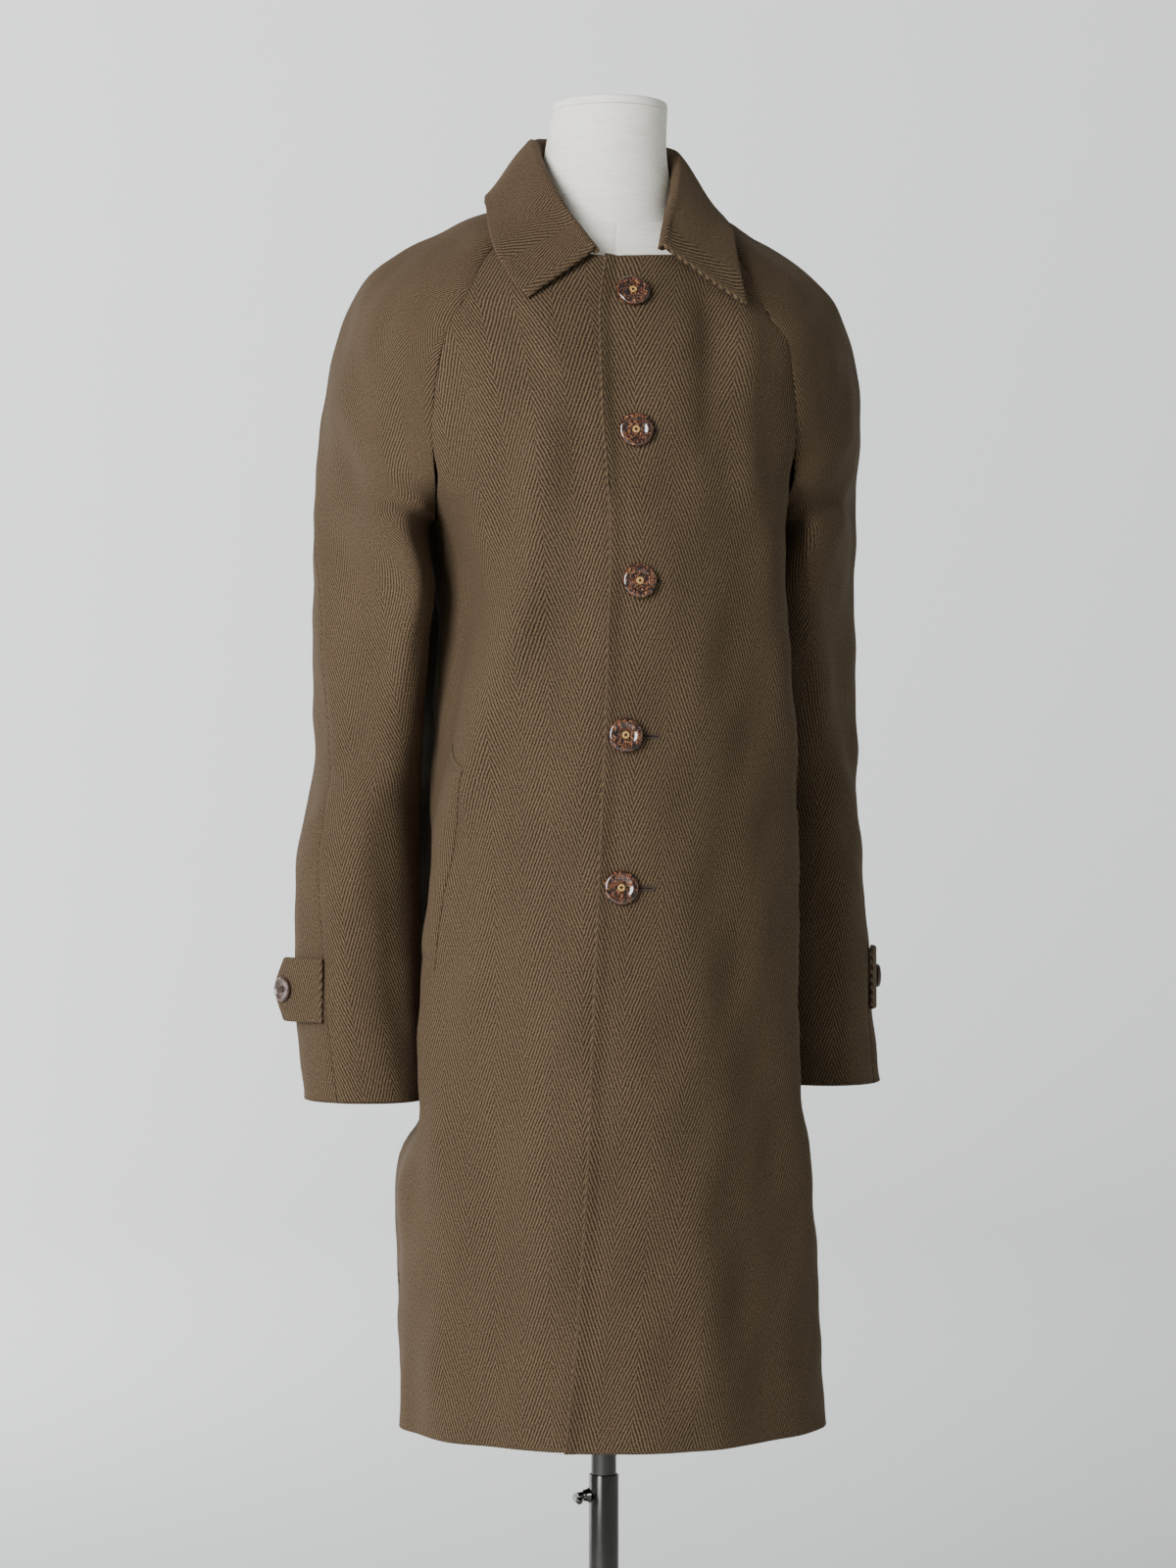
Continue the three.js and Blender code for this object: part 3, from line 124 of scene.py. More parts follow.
# Soft folds: top and bottom as height and angle, rise in mm and spread in degrees. The last ones are fine ones.
bodyFolds = [
    (1270, -16, 1010, -36, 7, 6), (1110, -26, 880, -55, 6.5, 6.5), (1180, -12, 940, -26, -3, 8),
    (1230, 34, 920, 53, 6, 7), (1000, 22, 660, 26, -2.5, 10), (860, -36, 400, -41, -4, 11),
    (760, -54, 400, -60, 3.5, 9),
    (820, 40, 400, 36, -4.5, 10), (700, 58, 400, 61, 4, 9), (740, 88, 400, 96, -4, 12),
    (700, -92, 400, -99, -4.5, 12), (1210, 152, 560, 146, 5, 9), (1140, 174, 430, 178, -6, 12),
    (1190, -150, 500, -145, 5.5, 9), (900, -128, 400, -124, -5, 10), (840, 126, 400, 130, -4.5, 10),
    (1330, 168, 1190, 160, -3, 9),
    (1300, -31, 1020, -47, 2.2, 5), (1235, -13, 1060, -17, -1.2, 4.5), (1330, 27, 1130, 34, 1.6, 5),
    (1190, 12, 1010, 14, -1.1, 4.5), (760, -24, 430, -27, 1.5, 5), (640, 15, 400, 17, 1.8, 6),
    (700, 28, 420, 27, -1.4, 5), (560, -8, 400, -9, -1.3, 5), (620, 72, 400, 76, -2, 6),
    (650, -76, 400, -80, 2.2, 6), (1290, -166, 1010, -171, 1.8, 5), (1120, 160, 800, 164, -1.8, 5),
    (720, -166, 400, -163, 2, 6), (690, 150, 400, 154, 1.8, 6), (600, -110, 400, -112, 2.4, 6),
    (610, 110, 400, 113, 2.2, 6), (1080, -136, 820, -133, 1.6, 5), (980, 136, 720, 133, 1.7, 5),
    (1366, 21, 1190, 19, -5, 4.5), (1360, 29, 1150, 31, 3.4, 5), (1320, -2, 1170, 0, -2.2, 4),
    (1365, -24, 1250, -13, 3, 4)]
frontEdge = makeTable("z x", [
    (400, -60), (476, -53.5), (608, -45), (774, -38.6), (924, -32), (1027, -27.5), (1146, -24.5), (1241, -30),
    (1325, -27), (1367, -18)])

# The shoulder from the neck to the underarm: where the raglan seams lie, the ridge, and how full the cloth is.
yoke = makeTable("row frontAngle frontZ backAngle backZ out y z lean fOut fFwd fUp rFwd rIn rBack bOut bAft bUp", [
    (0, 43.6, 1402, 139, 1438, 68, 8, 1423, 0, 3, 6, 8, 18, 0, 16, 9, 4, 0),
    (1, 43.6, 1379, 135, 1415, 101, 24, 1420, 0, 12, -9, 16, 36, 0, 22, 18, 2, 4),
    (2, 37.6, 1339, 143, 1385, 136, 38, 1405.5, 1, 26, -17, 22, 46, 0, 26, 30, -4, 8),
    (3, 41, 1310, 145, 1350, 170, 44, 1388, 2, 34, -21, 26, 50, 0, 32, 38, -4, 18),
    (4, 43.9, 1285, 143, 1310, 204, 47, 1358, 7.5, 42, -22, 24, 58, 0, 38, 46, -2, 22),
    (5, 48.5, 1250, 137, 1265, 221.5, 48, 1312, 7, 44, -19, 20, 68, 0, 44, 46, 4, 20),
    (6, 52.9, 1212, 129, 1215, 231, 46, 1258, 5.1, 42, -14, 14, 76, 0, 54, 44, 16, 16),
    (7, 56, 1182, 125, 1182, 235, 42, 1212, 2.3, 32, 8, 8, 98, 26, 66, 34, 36, 10),
    (8, 77, 1160, 115, 1161, 235.2, 36, 1178, -2.3, 14, 84, 4, 106, 46, 84, 18, 72, 6),
    (9, 104, 1150, 104, 1150, 235, 30, 1152, -5, 24, 156, 0, 132, 54, 92, 12, 92, 0)])

sleeveNames = "z inner outer y depth seamTurn full"
rightSleeve = makeTable(sleeveNames, [
    (1100, 147, 243.5, 22, 84, 74, 56), (1050, 149.5, 242.5, 26, 79, 70, 44), (1000, 151, 241, 30, 72, 64, 28),
    (960, 151.5, 239.5, 34, 67, 60, 14), (925, 152, 247.5, 35, 66, 56, 0), (890, 152.5, 253.5, 35, 63, 52, 0),
    (850, 152.5, 255.5, 34, 61, 49, 0), (800, 152.5, 254.5, 33, 59, 46, 0), (755, 152, 254, 31, 58, 43, 0),
    (712, 150.5, 250.5, 29, 57, 40, 0), (671, 148.2, 247.5, 27, 56, 37, 0)])
leftSleeve = makeTable(sleeveNames, [
    (1100, 129, 224.5, 30, 83, 84, 56), (1050, 128, 227, 35, 78, 82, 44), (1000, 127.5, 228.5, 41, 70, 79, 28),
    (960, 128, 230.5, 45, 67, 76, 14), (925, 128, 234, 46, 66, 73, 0), (890, 129, 235.5, 46, 64, 70, 0),
    (850, 131, 236.5, 45, 62, 67, 0), (800, 134, 239, 43, 60, 63, 0), (755, 136, 240, 41, 58, 60, 0),
    (712, 140, 242.5, 38, 57, 57, 0), (680, 144, 246, 36, 56, 54, 0)])

# Sleeve creases: height, turn, slope in degrees for each 100 mm down, rise, spread, length. The last are fine.
sleeveFolds = {
    -1: [(1180, 6, -8, 5, 26, 210), (1020, 40, 22, -4, 20, 120), (925, 96, 60, -5, 26, 34),
         (880, 30, 40, 3.5, 22, 70), (800, -10, -12, -3, 20, 90), (1060, 165, 16, 4, 24, 150),
         (940, 205, -50, -4, 24, 50), (1085, -18, 14, -2.2, 12, 90), (975, 62, 70, 2, 15, 26),
         (905, 70, 90, -1.8, 14, 22), (760, 52, 12, 1.6, 14, 60), (1000, 138, 40, -2, 14, 50),
         (880, 178, -62, 2, 15, 28), (780, 150, 10, -1.8, 16, 60), (840, 228, 30, 1.8, 16, 50)],
    1: [(1150, 30, -10, 5, 24, 220), (990, 55, 24, -4, 20, 110), (915, 100, 55, -3.5, 26, 36),
        (860, 20, 34, 3, 22, 80), (1080, 170, -14, 4, 24, 140), (900, 210, 45, -4, 22, 60),
        (1070, -12, 18, -2, 12, 80), (960, 78, 62, 1.8, 15, 26), (880, 52, 84, -1.8, 14, 24),
        (770, 30, 14, 1.6, 14, 60), (1010, 142, -38, -2, 14, 46), (930, 180, 58, 2, 15, 30),
        (800, 160, -12, -1.8, 16, 60), (850, 236, 26, 1.6, 16, 50)],
}
collarStations = makeTable("turn rollX rollY rollZ edgeX edgeY edgeZ bend lift", [
    (-15, -26, -107, 1375, -84, -122, 1331, 3.2, 4.6), (-34, -42, -90, 1401, -104, -101, 1364, 4.5, 3.4),
    (-60, -57, -60, 1436, -108, -64, 1396, 5.5, 3), (-92, -62, -12, 1474, -103, -12, 1428, 6, 2.2),
    (-130, -52, 40, 1487, -86, 70, 1430, 6, 2.2), (-158, -27, 62, 1490, -44, 98, 1425, 6, 2.2),
    (-180, 0, 68, 1490, 0, 106, 1422, 6, 2.2), (-202, 27, 62, 1490, 43, 98, 1423, 6, 2.2),
    (-230, 52, 40, 1485, 82, 68, 1424, 6, 2.2), (-268, 61, -12, 1468, 94, -12, 1420, 5.5, 2.2),
    (-302, 50, -62, 1430, 98, -68, 1394, 5.5, 4.6), (-333, 38, -92, 1401, 97, -101, 1359, 4.5, 6.4),
    (-343.5, 31, -109, 1378, 98, -120, 1328, 3.2, 5.6)])


def foldRise(angle, z):
    rise = 0
    for top, topAngle, bottom, bottomAngle, height, spread in bodyFolds:
        along = (top - z) / (top - bottom)
        ends = smoothStep(along * 4) * smoothStep((1 - along) * 4 + (4 if bottom <= hemHeight else 0))
        centre = topAngle + (bottomAngle - topAngle) * np.clip(along, 0, 1)
        offset = (angle - centre + 180) % 360 - 180
        rise = rise + height * ends * np.exp(-((offset / spread) ** 2))
    return rise


# A point on the outside of the body. The angle is in degrees from the front, positive to the wearer's left.
def bodyPoint(angle, z, lift=0):
    angle = (np.asarray(angle, float) + 180) % 360 - 180
    z = np.asarray(z, float)
    section = readTable(bodySections, z)
    right, left = readTable(rightHollow, z), readTable(leftHollow, z)
    hollow = {name: np.where(angle < 0, right[name], left[name]) for name in right}
    side = np.abs(angle)
    into = smoothStep((side - hollow["start"]) / (hollow["full"] - hollow["start"]))
    outOf = 1 - smoothStep((side - hollow["back"]) / (hollow["end"] - hollow["back"]))
    radial = foldRise(angle, z) - hollow["depth"] * into * outOf + lift
    sine, cosine = np.sin(np.radians(angle)), np.cos(np.radians(angle))
    depth = np.where(cosine > 0, section["front"], section["back"])
    return vec(section["centre"] + sine * (section["half"] + radial), -cosine * (depth + radial), z)


def bodyInward(angle, z):
    angle, z = np.broadcast_arrays(np.asarray(angle, float), np.asarray(z, float))
    across = bodyPoint(angle + 1.5, z) - bodyPoint(angle - 1.5, z)
    up = bodyPoint(angle, z + 6) - bodyPoint(angle, z - 6)
    return unit(np.cross(up, across))


def angleAtX(x, z):
    section = readTable(bodySections, z)
    return np.degrees(np.arcsin((x - section["centre"]) / section["half"]))


# Slow wander of the hanging cloth, a millimetre or so, never the same twice.
def wander(u, v, phase, size):
    waves = ((0.0131, 0.0047, 1.0), (-0.0083, 0.0109, 0.8), (0.0217, -0.0061, 0.5), (0.0052, 0.0235, 0.45))
    total = 0
    for k, (acrossRate, alongRate, height) in enumerate(waves):
        total = total + height * np.sin(2 * np.pi * (u * acrossRate + v * alongRate) + phase * (k + 1.7))
    return size * total


def arcAlong(points, axis):  # running length of a grid of points, in mm
    steps = np.linalg.norm(np.diff(points, axis=axis), axis=-1)
    start = np.zeros_like(np.take(steps, [0], axis=axis))
    return np.concatenate([start, np.cumsum(steps, axis=axis)], axis=axis)


# A closed shell of cloth: the sheet is its outside, and all its edges are rounded and drawn back from the seam.
def clothShell(name, sheet, inward, thickness, uv, roundness=0.85, seamGap=0.05):
    rows, columns = sheet.shape[:2]
    sheet = sheet.copy()
    thickness = np.broadcast_to(thickness, (rows, columns))
    loop = [(0, j) for j in range(columns)] + [(i, columns - 1) for i in range(1, rows)]
    loop += [(rows - 1, j) for j in range(columns - 2, -1, -1)] + [(i, 0) for i in range(rows - 2, 0, -1)]
    ring = np.array(loop)
    i, j = ring[:, 0], ring[:, 1]
    inside = sheet[np.clip(i, 1, rows - 2), np.clip(j, 1, columns - 2)]
    outwards = sheet[i, j] - inside
    normal = inward[i, j]
    outwards = unit(outwards - normal * np.sum(outwards * normal, axis=-1, keepdims=True))
    half = thickness[i, j][:, None] / 2
    roundness = np.broadcast_to(roundness, (rows, columns))[i, j][:, None]
    sheet[i, j] -= outwards * (roundness * half + seamGap)
    beside = uv[i, j] - uv[np.clip(i, 1, rows - 2), np.clip(j, 1, columns - 2)]
    onward = beside / np.maximum(np.linalg.norm(beside, axis=-1, keepdims=True), 1e-9)
    inner = sheet + inward * thickness[..., None]
    middle = (sheet[i, j] + inner[i, j]) / 2
    points = [sheet.reshape(-1, 3), inner.reshape(-1, 3)]
    spots = [uv.reshape(-1, 2), uv.reshape(-1, 2)]
    for turn in (35, 90, 145):
        turn = math.radians(turn)
        points.append(middle - normal * half * math.cos(turn) + outwards * half * roundness * math.sin(turn))
        spots.append(uv[i, j] + onward * half * roundness * 1.3 * math.sin(turn))
    points, spots = np.concatenate(points), np.concatenate(spots)
    grid = np.arange(rows * columns).reshape(rows, columns)
    quads = np.stack([grid[:-1, :-1], grid[:-1, 1:], grid[1:, 1:], grid[1:, :-1]], axis=-1).reshape(-1, 4)
    rims = [grid[i, j]] + [2 * rows * columns + k * len(ring) + np.arange(len(ring)) for k in range(3)]
    rims.append(rows * columns + grid[i, j])
    faces = [quads, quads[:, ::-1] + rows * columns]
    for a, b in zip(rims[:-1], rims[1:]):
        faces.append(np.stack([np.roll(a, -1), a, b, np.roll(b, -1)], axis=-1))
    faces = np.concatenate(faces)
    corners = points[faces]
    volume = np.sum(corners[:, 0] * np.cross(corners[:, 1], corners[:, 2]))
    volume += np.sum(corners[:, 0] * np.cross(corners[:, 2], corners[:, 3]))
    if volume < 0:
        faces = faces[:, ::-1]
    return meshObject(name, points * mm, faces, spots * mm)


def meshObject(name, points, faces, uv=None):
    mesh = bpy.data.meshes.new(name)
    mesh.from_pydata(np.asarray(points).tolist(), [], [list(map(int, face)) for face in faces])
    if uv is not None:
        layer = mesh.uv_layers.new(name="cloth")
        order = np.zeros(len(mesh.loops), int)
        mesh.loops.foreach_get("vertex_index", order)
        layer.data.foreach_set("uv", uv[order].ravel())
    mesh.polygons.foreach_set("use_smooth", [True] * len(mesh.polygons))
    mesh.update()
    obj = bpy.data.objects.new(name, mesh)
    bpy.context.scene.collection.objects.link(obj)
    return obj


# What a finished piece is: its material, the body it moves with and the solid it stands for.
def finishPiece(obj, material, body, node=None):
    if material is not None:
        obj.data.materials.clear()
        obj.data.materials.append(material)
    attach(obj, body)
    if node:
        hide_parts(node)
    return obj


print("materials")


def hexColour(text):
    values = [int(text[i:i + 2], 16) / 255 for i in (1, 3, 5)]
    return [v / 12.92 if v <= 0.04045 else ((v + 0.055) / 1.055) ** 2.4 for v in values] + [1]


# Adds a node; an input given as a socket is linked, anything else is its value.
def addNode(tree, kind, inputs=None, **settings):
    node = tree.nodes.new(kind)
    for key, value in settings.items():
        setattr(node, key, value)
    for key, value in (inputs or {}).items():
        if isinstance(value, bpy.types.NodeSocket):
            tree.links.new(value, node.inputs[key])
        else:
            node.inputs[key].default_value = value
    return node


def newMaterial(name):
    material = bpy.data.materials.new(name)
    material.use_nodes = True
    shader = material.node_tree.nodes["Principled BSDF"]
    return material, material.node_tree, shader


def ramp(tree, factor, stops):
    node = addNode(tree, "ShaderNodeValToRGB", {"Fac": factor})
    elements = node.color_ramp.elements
    while len(elements) < len(stops):
        elements.new(0.5)
    for element, (place, colour) in zip(elements, stops):
        element.position = place
        element.color = hexColour(colour)
    return node.outputs["Color"]


# Wool herringbone, woven and lightly milled: matt, a little fuzzy, zigzag stripes 25 mm wide. The real twill
# lines are 2.4 mm apart, a little too fine for the render, so they are drawn 2.7 mm apart.
woolLook = {
    "dark": "#20180f", "light": "#635039", "stripe": 0.025, "acrossPitch": 0.0027, "alongPitch": 0.0072,
    "roughness": 0.92, "sheen": 0.14, "sheenRoughness": 0.5, "sheenTint": "#a08468", "relief": 0.0003,
    "drift": 0.0016, "lineFrom": -0.95, "lineTo": 1.05, "yarnScale": 620, "speckle": 0.62, "wear": 0.07,
}


def woolHerringbone(name, look):
    material, tree, shader = newMaterial(name)
    place = addNode(tree, "ShaderNodeUVMap", uv_map="cloth")
    drift = addNode(tree, "ShaderNodeTexNoise", {"Vector": place.outputs["UV"], "Scale": 90, "Detail": 2})
    moved = addNode(tree, "ShaderNodeVectorMath", {0: drift.outputs["Color"], 1: (0.5, 0.5, 0.5)},
                    operation="SUBTRACT")
    scaled = addNode(tree, "ShaderNodeVectorMath", {0: moved.outputs[0], 3: look["drift"]}, operation="SCALE")
    where = addNode(tree, "ShaderNodeVectorMath", {0: place.outputs["UV"], 1: scaled.outputs[0]}, operation="ADD")
    axes = addNode(tree, "ShaderNodeSeparateXYZ", {0: where.outputs[0]})
    zigzag = addNode(tree, "ShaderNodeMath", {0: axes.outputs["X"], 1: look["stripe"]}, operation="PINGPONG")
    across = addNode(tree, "ShaderNodeMath", {0: zigzag.outputs[0], 1: look["acrossPitch"]}, operation="DIVIDE")
    along = addNode(tree, "ShaderNodeMath", {0: axes.outputs["Y"], 1: look["alongPitch"]}, operation="DIVIDE")
    count = addNode(tree, "ShaderNodeMath", {0: axes.outputs["X"], 1: look["stripe"]}, operation="DIVIDE")
    whole = addNode(tree, "ShaderNodeMath", {0: count.outputs[0]}, operation="FLOOR")
    odd = addNode(tree, "ShaderNodeMath", {0: whole.outputs[0], 1: 2}, operation="FLOORED_MODULO")
    jump = addNode(tree, "ShaderNodeMath", {0: odd.outputs[0], 1: 0.5, 2: along.outputs[0]}, operation="MULTIPLY_ADD")
    phase = addNode(tree, "ShaderNodeMath", {0: jump.outputs[0], 1: across.outputs[0]}, operation="ADD")
    turn = addNode(tree, "ShaderNodeMath", {0: phase.outputs[0], 1: 2 * math.pi}, operation="MULTIPLY")
    wave = addNode(tree, "ShaderNodeMath", {0: turn.outputs[0]}, operation="SINE")
    line = addNode(tree, "ShaderNodeMapRange", {"Value": wave.outputs[0], "From Min": look["lineFrom"],
                                                "From Max": look["lineTo"]}, interpolation_type="SMOOTHSTEP")
    yarn = addNode(tree, "ShaderNodeTexNoise", {"Vector": place.outputs["UV"], "Scale": look["yarnScale"],
                                                "Detail": 3, "Roughness": 0.7})
    broken = addNode(tree, "ShaderNodeMapRange", {"Value": yarn.outputs["Fac"], "From Min": 0.3, "From Max": 0.7,
                                                  "To Min": -look["speckle"], "To Max": look["speckle"]})
    mixed = addNode(tree, "ShaderNodeMath", {0: line.outputs[0], 1: broken.outputs[0]}, operation="ADD",
                    use_clamp=True)
    colour = addNode(tree, "ShaderNodeMix", {0: mixed.outputs[0], 6: hexColour(look["dark"]),
                                             7: hexColour(look["light"])}, data_type="RGBA")
    patches = addNode(tree, "ShaderNodeTexNoise", {"Vector": place.outputs["UV"], "Scale": 9, "Detail": 4})
    worn = addNode(tree, "ShaderNodeMapRange", {"Value": patches.outputs["Fac"], "From Min": 0.25, "From Max": 0.75,
                                                "To Min": 1 - look["wear"], "To Max": 1 + look["wear"]})
    final = addNode(tree, "ShaderNodeVectorMath", {0: colour.outputs[2], 3: worn.outputs[0]}, operation="SCALE")
    tree.links.new(final.outputs[0], shader.inputs["Base Color"])
    height = addNode(tree, "ShaderNodeMath", {0: yarn.outputs["Fac"], 1: 0.6, 2: line.outputs[0]},
                     operation="MULTIPLY_ADD")
    bump = addNode(tree, "ShaderNodeBump", {"Height": height.outputs[0], "Strength": 0.55,
                                            "Distance": look["relief"]})
    tree.links.new(bump.outputs[0], shader.inputs["Normal"])
    shader.inputs["Roughness"].default_value = look["roughness"]
    shader.inputs["Specular IOR Level"].default_value = 0.25
    shader.inputs["Sheen Weight"].default_value = look["sheen"]
    shader.inputs["Sheen Roughness"].default_value = look["sheenRoughness"]
    shader.inputs["Sheen Tint"].default_value = hexColour(look["sheenTint"])
    return material


wool = woolHerringbone("woolHerringbone", woolLook)

# Polished horn, cut and buffed: near black brown with flame-like reddish and tan streaks under a clear gloss.
hornLook = {"black": "#0c0605", "brown": "#2a110a", "flame": "#74371b", "tan": "#b98a5c", "roughness": 0.14,
            "streaks": 1.0}


def polishedHorn(name, look):
    material, tree, shader = newMaterial(name)
    reach = 0.2 / look["streaks"]
    place = addNode(tree, "ShaderNodeTexCoord")
    bend = addNode(tree, "ShaderNodeTexNoise", {"Vector": place.outputs["Object"], "Scale": 70, "Detail": 3})
    pull = addNode(tree, "ShaderNodeVectorMath", {0: bend.outputs["Color"], 3: 0.012}, operation="SCALE")
    where = addNode(tree, "ShaderNodeVectorMath", {0: place.outputs["Object"], 1: pull.outputs[0]}, operation="ADD")
    turned = addNode(tree, "ShaderNodeMapping", {0: where.outputs[0], 2: (0.3, 0.7, 0.5), 3: (1, 1.6, 0.45)})
    flecks = addNode(tree, "ShaderNodeTexNoise", {"Vector": turned.outputs[0], "Scale": 520, "Detail": 6,
                                                 "Roughness": 0.65, "Distortion": 1.4})
    spread = addNode(tree, "ShaderNodeMapRange", {"Value": flecks.outputs["Fac"], "From Min": 0.5 - reach,
                                                  "From Max": 0.5 + reach})
    colour = ramp(tree, spread.outputs[0], [(0.0, look["black"]), (0.42, look["black"]), (0.55, look["brown"]),
                                            (0.68, look["flame"]), (0.8, look["tan"]), (0.9, look["brown"])])
    tree.links.new(colour, shader.inputs["Base Color"])
    shader.inputs["Roughness"].default_value = look["roughness"]
    shader.inputs["IOR"].default_value = 1.55
    shader.inputs["Coat Weight"].default_value = 0.7
    shader.inputs["Coat Roughness"].default_value = 0.05
    return material


horn = polishedHorn("polishedHorn", hornLook)
cuffHornLook = {"black": "#3c2823", "brown": "#4b332c", "flame": "#5c4037", "tan": "#6f5147", "roughness": 0.34,
                "streaks": 0.8}
cuffHorn = polishedHorn("cuffHorn", cuffHornLook)


def plainFinish(name, colour, roughness, metallic=0.0):
    material, tree, shader = newMaterial(name)
    shader.inputs["Base Color"].default_value = hexColour(colour)
    shader.inputs["Roughness"].default_value = roughness
    shader.inputs["Metallic"].default_value = metallic
    return material


goldThread = plainFinish("buttonThread", "#b08a4c", 0.7)  # polyester thread, beige gold
edgeThread = plainFinish("buttonholeThread", "#3a2a1c", 0.75)  # thread a shade darker than the cloth
# painted shade: a near-black cord laid along each buttonhole slit stands in for the shadow inside the cut
slitDark = plainFinish("buttonholeShade", "#120c07", 0.95)
steel = plainFinish("brushedSteel", "#4f4d4a", 0.22, 1.0)  # brushed steel tube, dark with soft bright bands

# Unbleached linen pulled tight over the form. The real threads are 0.6 mm apart and are drawn 1.5 mm apart.
linenLook = {"base": "#fbf6ea", "slub": "#f1ebdd", "pitch": 0.0015, "roughness": 0.88}


def wovenLinen(name, look):
    material, tree, shader = newMaterial(name)
    place = addNode(tree, "ShaderNodeTexCoord")
    axes = addNode(tree, "ShaderNodeSeparateXYZ", {0: place.outputs["Object"]})
    rate = 2 * math.pi / look["pitch"]
    waves = []
    for axis in ("X", "Z"):
        turn = addNode(tree, "ShaderNodeMath", {0: axes.outputs[axis], 1: rate}, operation="MULTIPLY")
        waves.append(addNode(tree, "ShaderNodeMath", {0: turn.outputs[0]}, operation="SINE"))
    weave = addNode(tree, "ShaderNodeMath", {0: waves[0].outputs[0], 1: waves[1].outputs[0]}, operation="MULTIPLY")
    stretched = addNode(tree, "ShaderNodeMapping", {0: place.outputs["Object"], 3: (0.25, 0.25, 2.2)})
    slub = addNode(tree, "ShaderNodeTexNoise", {"Vector": stretched.outputs[0], "Scale": 240, "Detail": 4})
    colour = ramp(tree, slub.outputs["Fac"], [(0.32, look["slub"]), (0.58, look["base"])])
    tree.links.new(colour, shader.inputs["Base Color"])
    height = addNode(tree, "ShaderNodeMath", {0: slub.outputs["Fac"], 1: 1.5, 2: weave.outputs[0]},
                     operation="MULTIPLY_ADD")
    bump = addNode(tree, "ShaderNodeBump", {"Height": height.outputs[0], "Strength": 0.3, "Distance": 0.0002})
    tree.links.new(bump.outputs[0], shader.inputs["Normal"])
    shader.inputs["Roughness"].default_value = look["roughness"]
    shader.inputs["Specular IOR Level"].default_value = 0.3
    return material


linen = wovenLinen("wovenLinen", linenLook)

print("fronts and back")

clothLook = {
    "thickness": 2.4, "edgeThickness": 4.2, "edgeReach": 7, "seamDip": 0.55, "seamReach": 4, "wander": 0.75,
    "frontColumns": 64, "backColumns": 92, "sleeveColumns": 44, "layerLift": 4, "underEdgeX": 28,
    "frontWidth": 340, "backWidth": 480, "sleeveWidth": 170, "layerFrom": 14, "layerFade": 50, "seamRound": 0.3,
    "edgeRound": 0.95, "backTurn": 12.5 / 1.75 / 1.75, "sleeveUvShift": 1200, "sleeveWander": 0.6,
    "frontProfile": 20, "backProfile": 165,
    "necklineScoop": 2.6, "rollHeight": 2.4, "rollReach": 9, "grooveAt": 11, "grooveDepth": 0.9,
}
# Row places from the hem, 0, to the neck, 22. The rows are closer at the hem, the shoulder and the neck.
bodyRows = np.concatenate([[0, 0.045, 0.08, 0.125, 0.19, 0.28], np.linspace(0.42, skirtRows, 78),
                           np.linspace(skirtRows, skirtRows + yokeRows, 70)[1:-5],
                           skirtRows + yokeRows - np.array([0.33, 0.22, 0.14, 0.08, 0])])


def overlapLift(x):  # the layer on top is lifted over the edge of the one below
    return clothLook["layerLift"] * (1 - smoothStep(
        (x - clothLook["underEdgeX"] - clothLook["layerFrom"]) / clothLook["layerFade"]))


def seamRow(place):  # row of the raglan seam, 9 at the underarm and below, 0 at the neck
    return np.clip(skirtRows + yokeRows - place, 0, yokeRows)


def edgeHeights(place):
    skirt = mix(hemHeight, underarmHeight, np.clip(place / skirtRows, 0, 1))
    return np.where(place <= skirtRows, skirt, mix(neckOpeningHeight, underarmHeight, seamRow(place) / yokeRows))


def seamPlace(place, which):
    entry = readTable(yoke, seamRow(place))
    z = np.where(place <= skirtRows, edgeHeights(place), entry[which + "Z"])
    return entry[which + "Angle"], z


def edgeFall(distance, reach):
    return np.exp(-((distance / reach) ** 2))


profileZ = np.linspace(380, 1460, 271)


def profileLength(angle):  # length of cloth up the body at one angle, against height
    line = bodyPoint(np.full_like(profileZ, angle), profileZ)
    return np.concatenate([[0], np.cumsum(np.linalg.norm(np.diff(line, axis=0), axis=-1))])


def bodyUv(angle, z, fromAngle, profileAngle):
    section = readTable(bodySections, z)
    depth = np.where(np.abs((angle + 180) % 360 - 180) < 90, section["front"], section["back"])
    u = np.radians(angle - fromAngle) * (section["half"] + depth) / 2
    return np.stack([u, np.interp(z, profileZ, profileLength(profileAngle))], axis=-1)


def seamAndEdge(sheet, inward, nearSeam, nearEdge, thickness):
    dip = clothLook["seamDip"] * edgeFall(nearSeam, clothLook["seamReach"])
    roll = edgeFall(nearEdge, clothLook["edgeReach"])
    grown = (clothLook["edgeThickness"] - clothLook["thickness"]) * roll
    sheet = sheet + inward * (dip - 0.3 * grown)[..., None]
    roundness = mix(clothLook["seamRound"], clothLook["edgeRound"], edgeFall(nearEdge, 2))
    return sheet, thickness + grown, roundness  # seams lie close, free edges are round


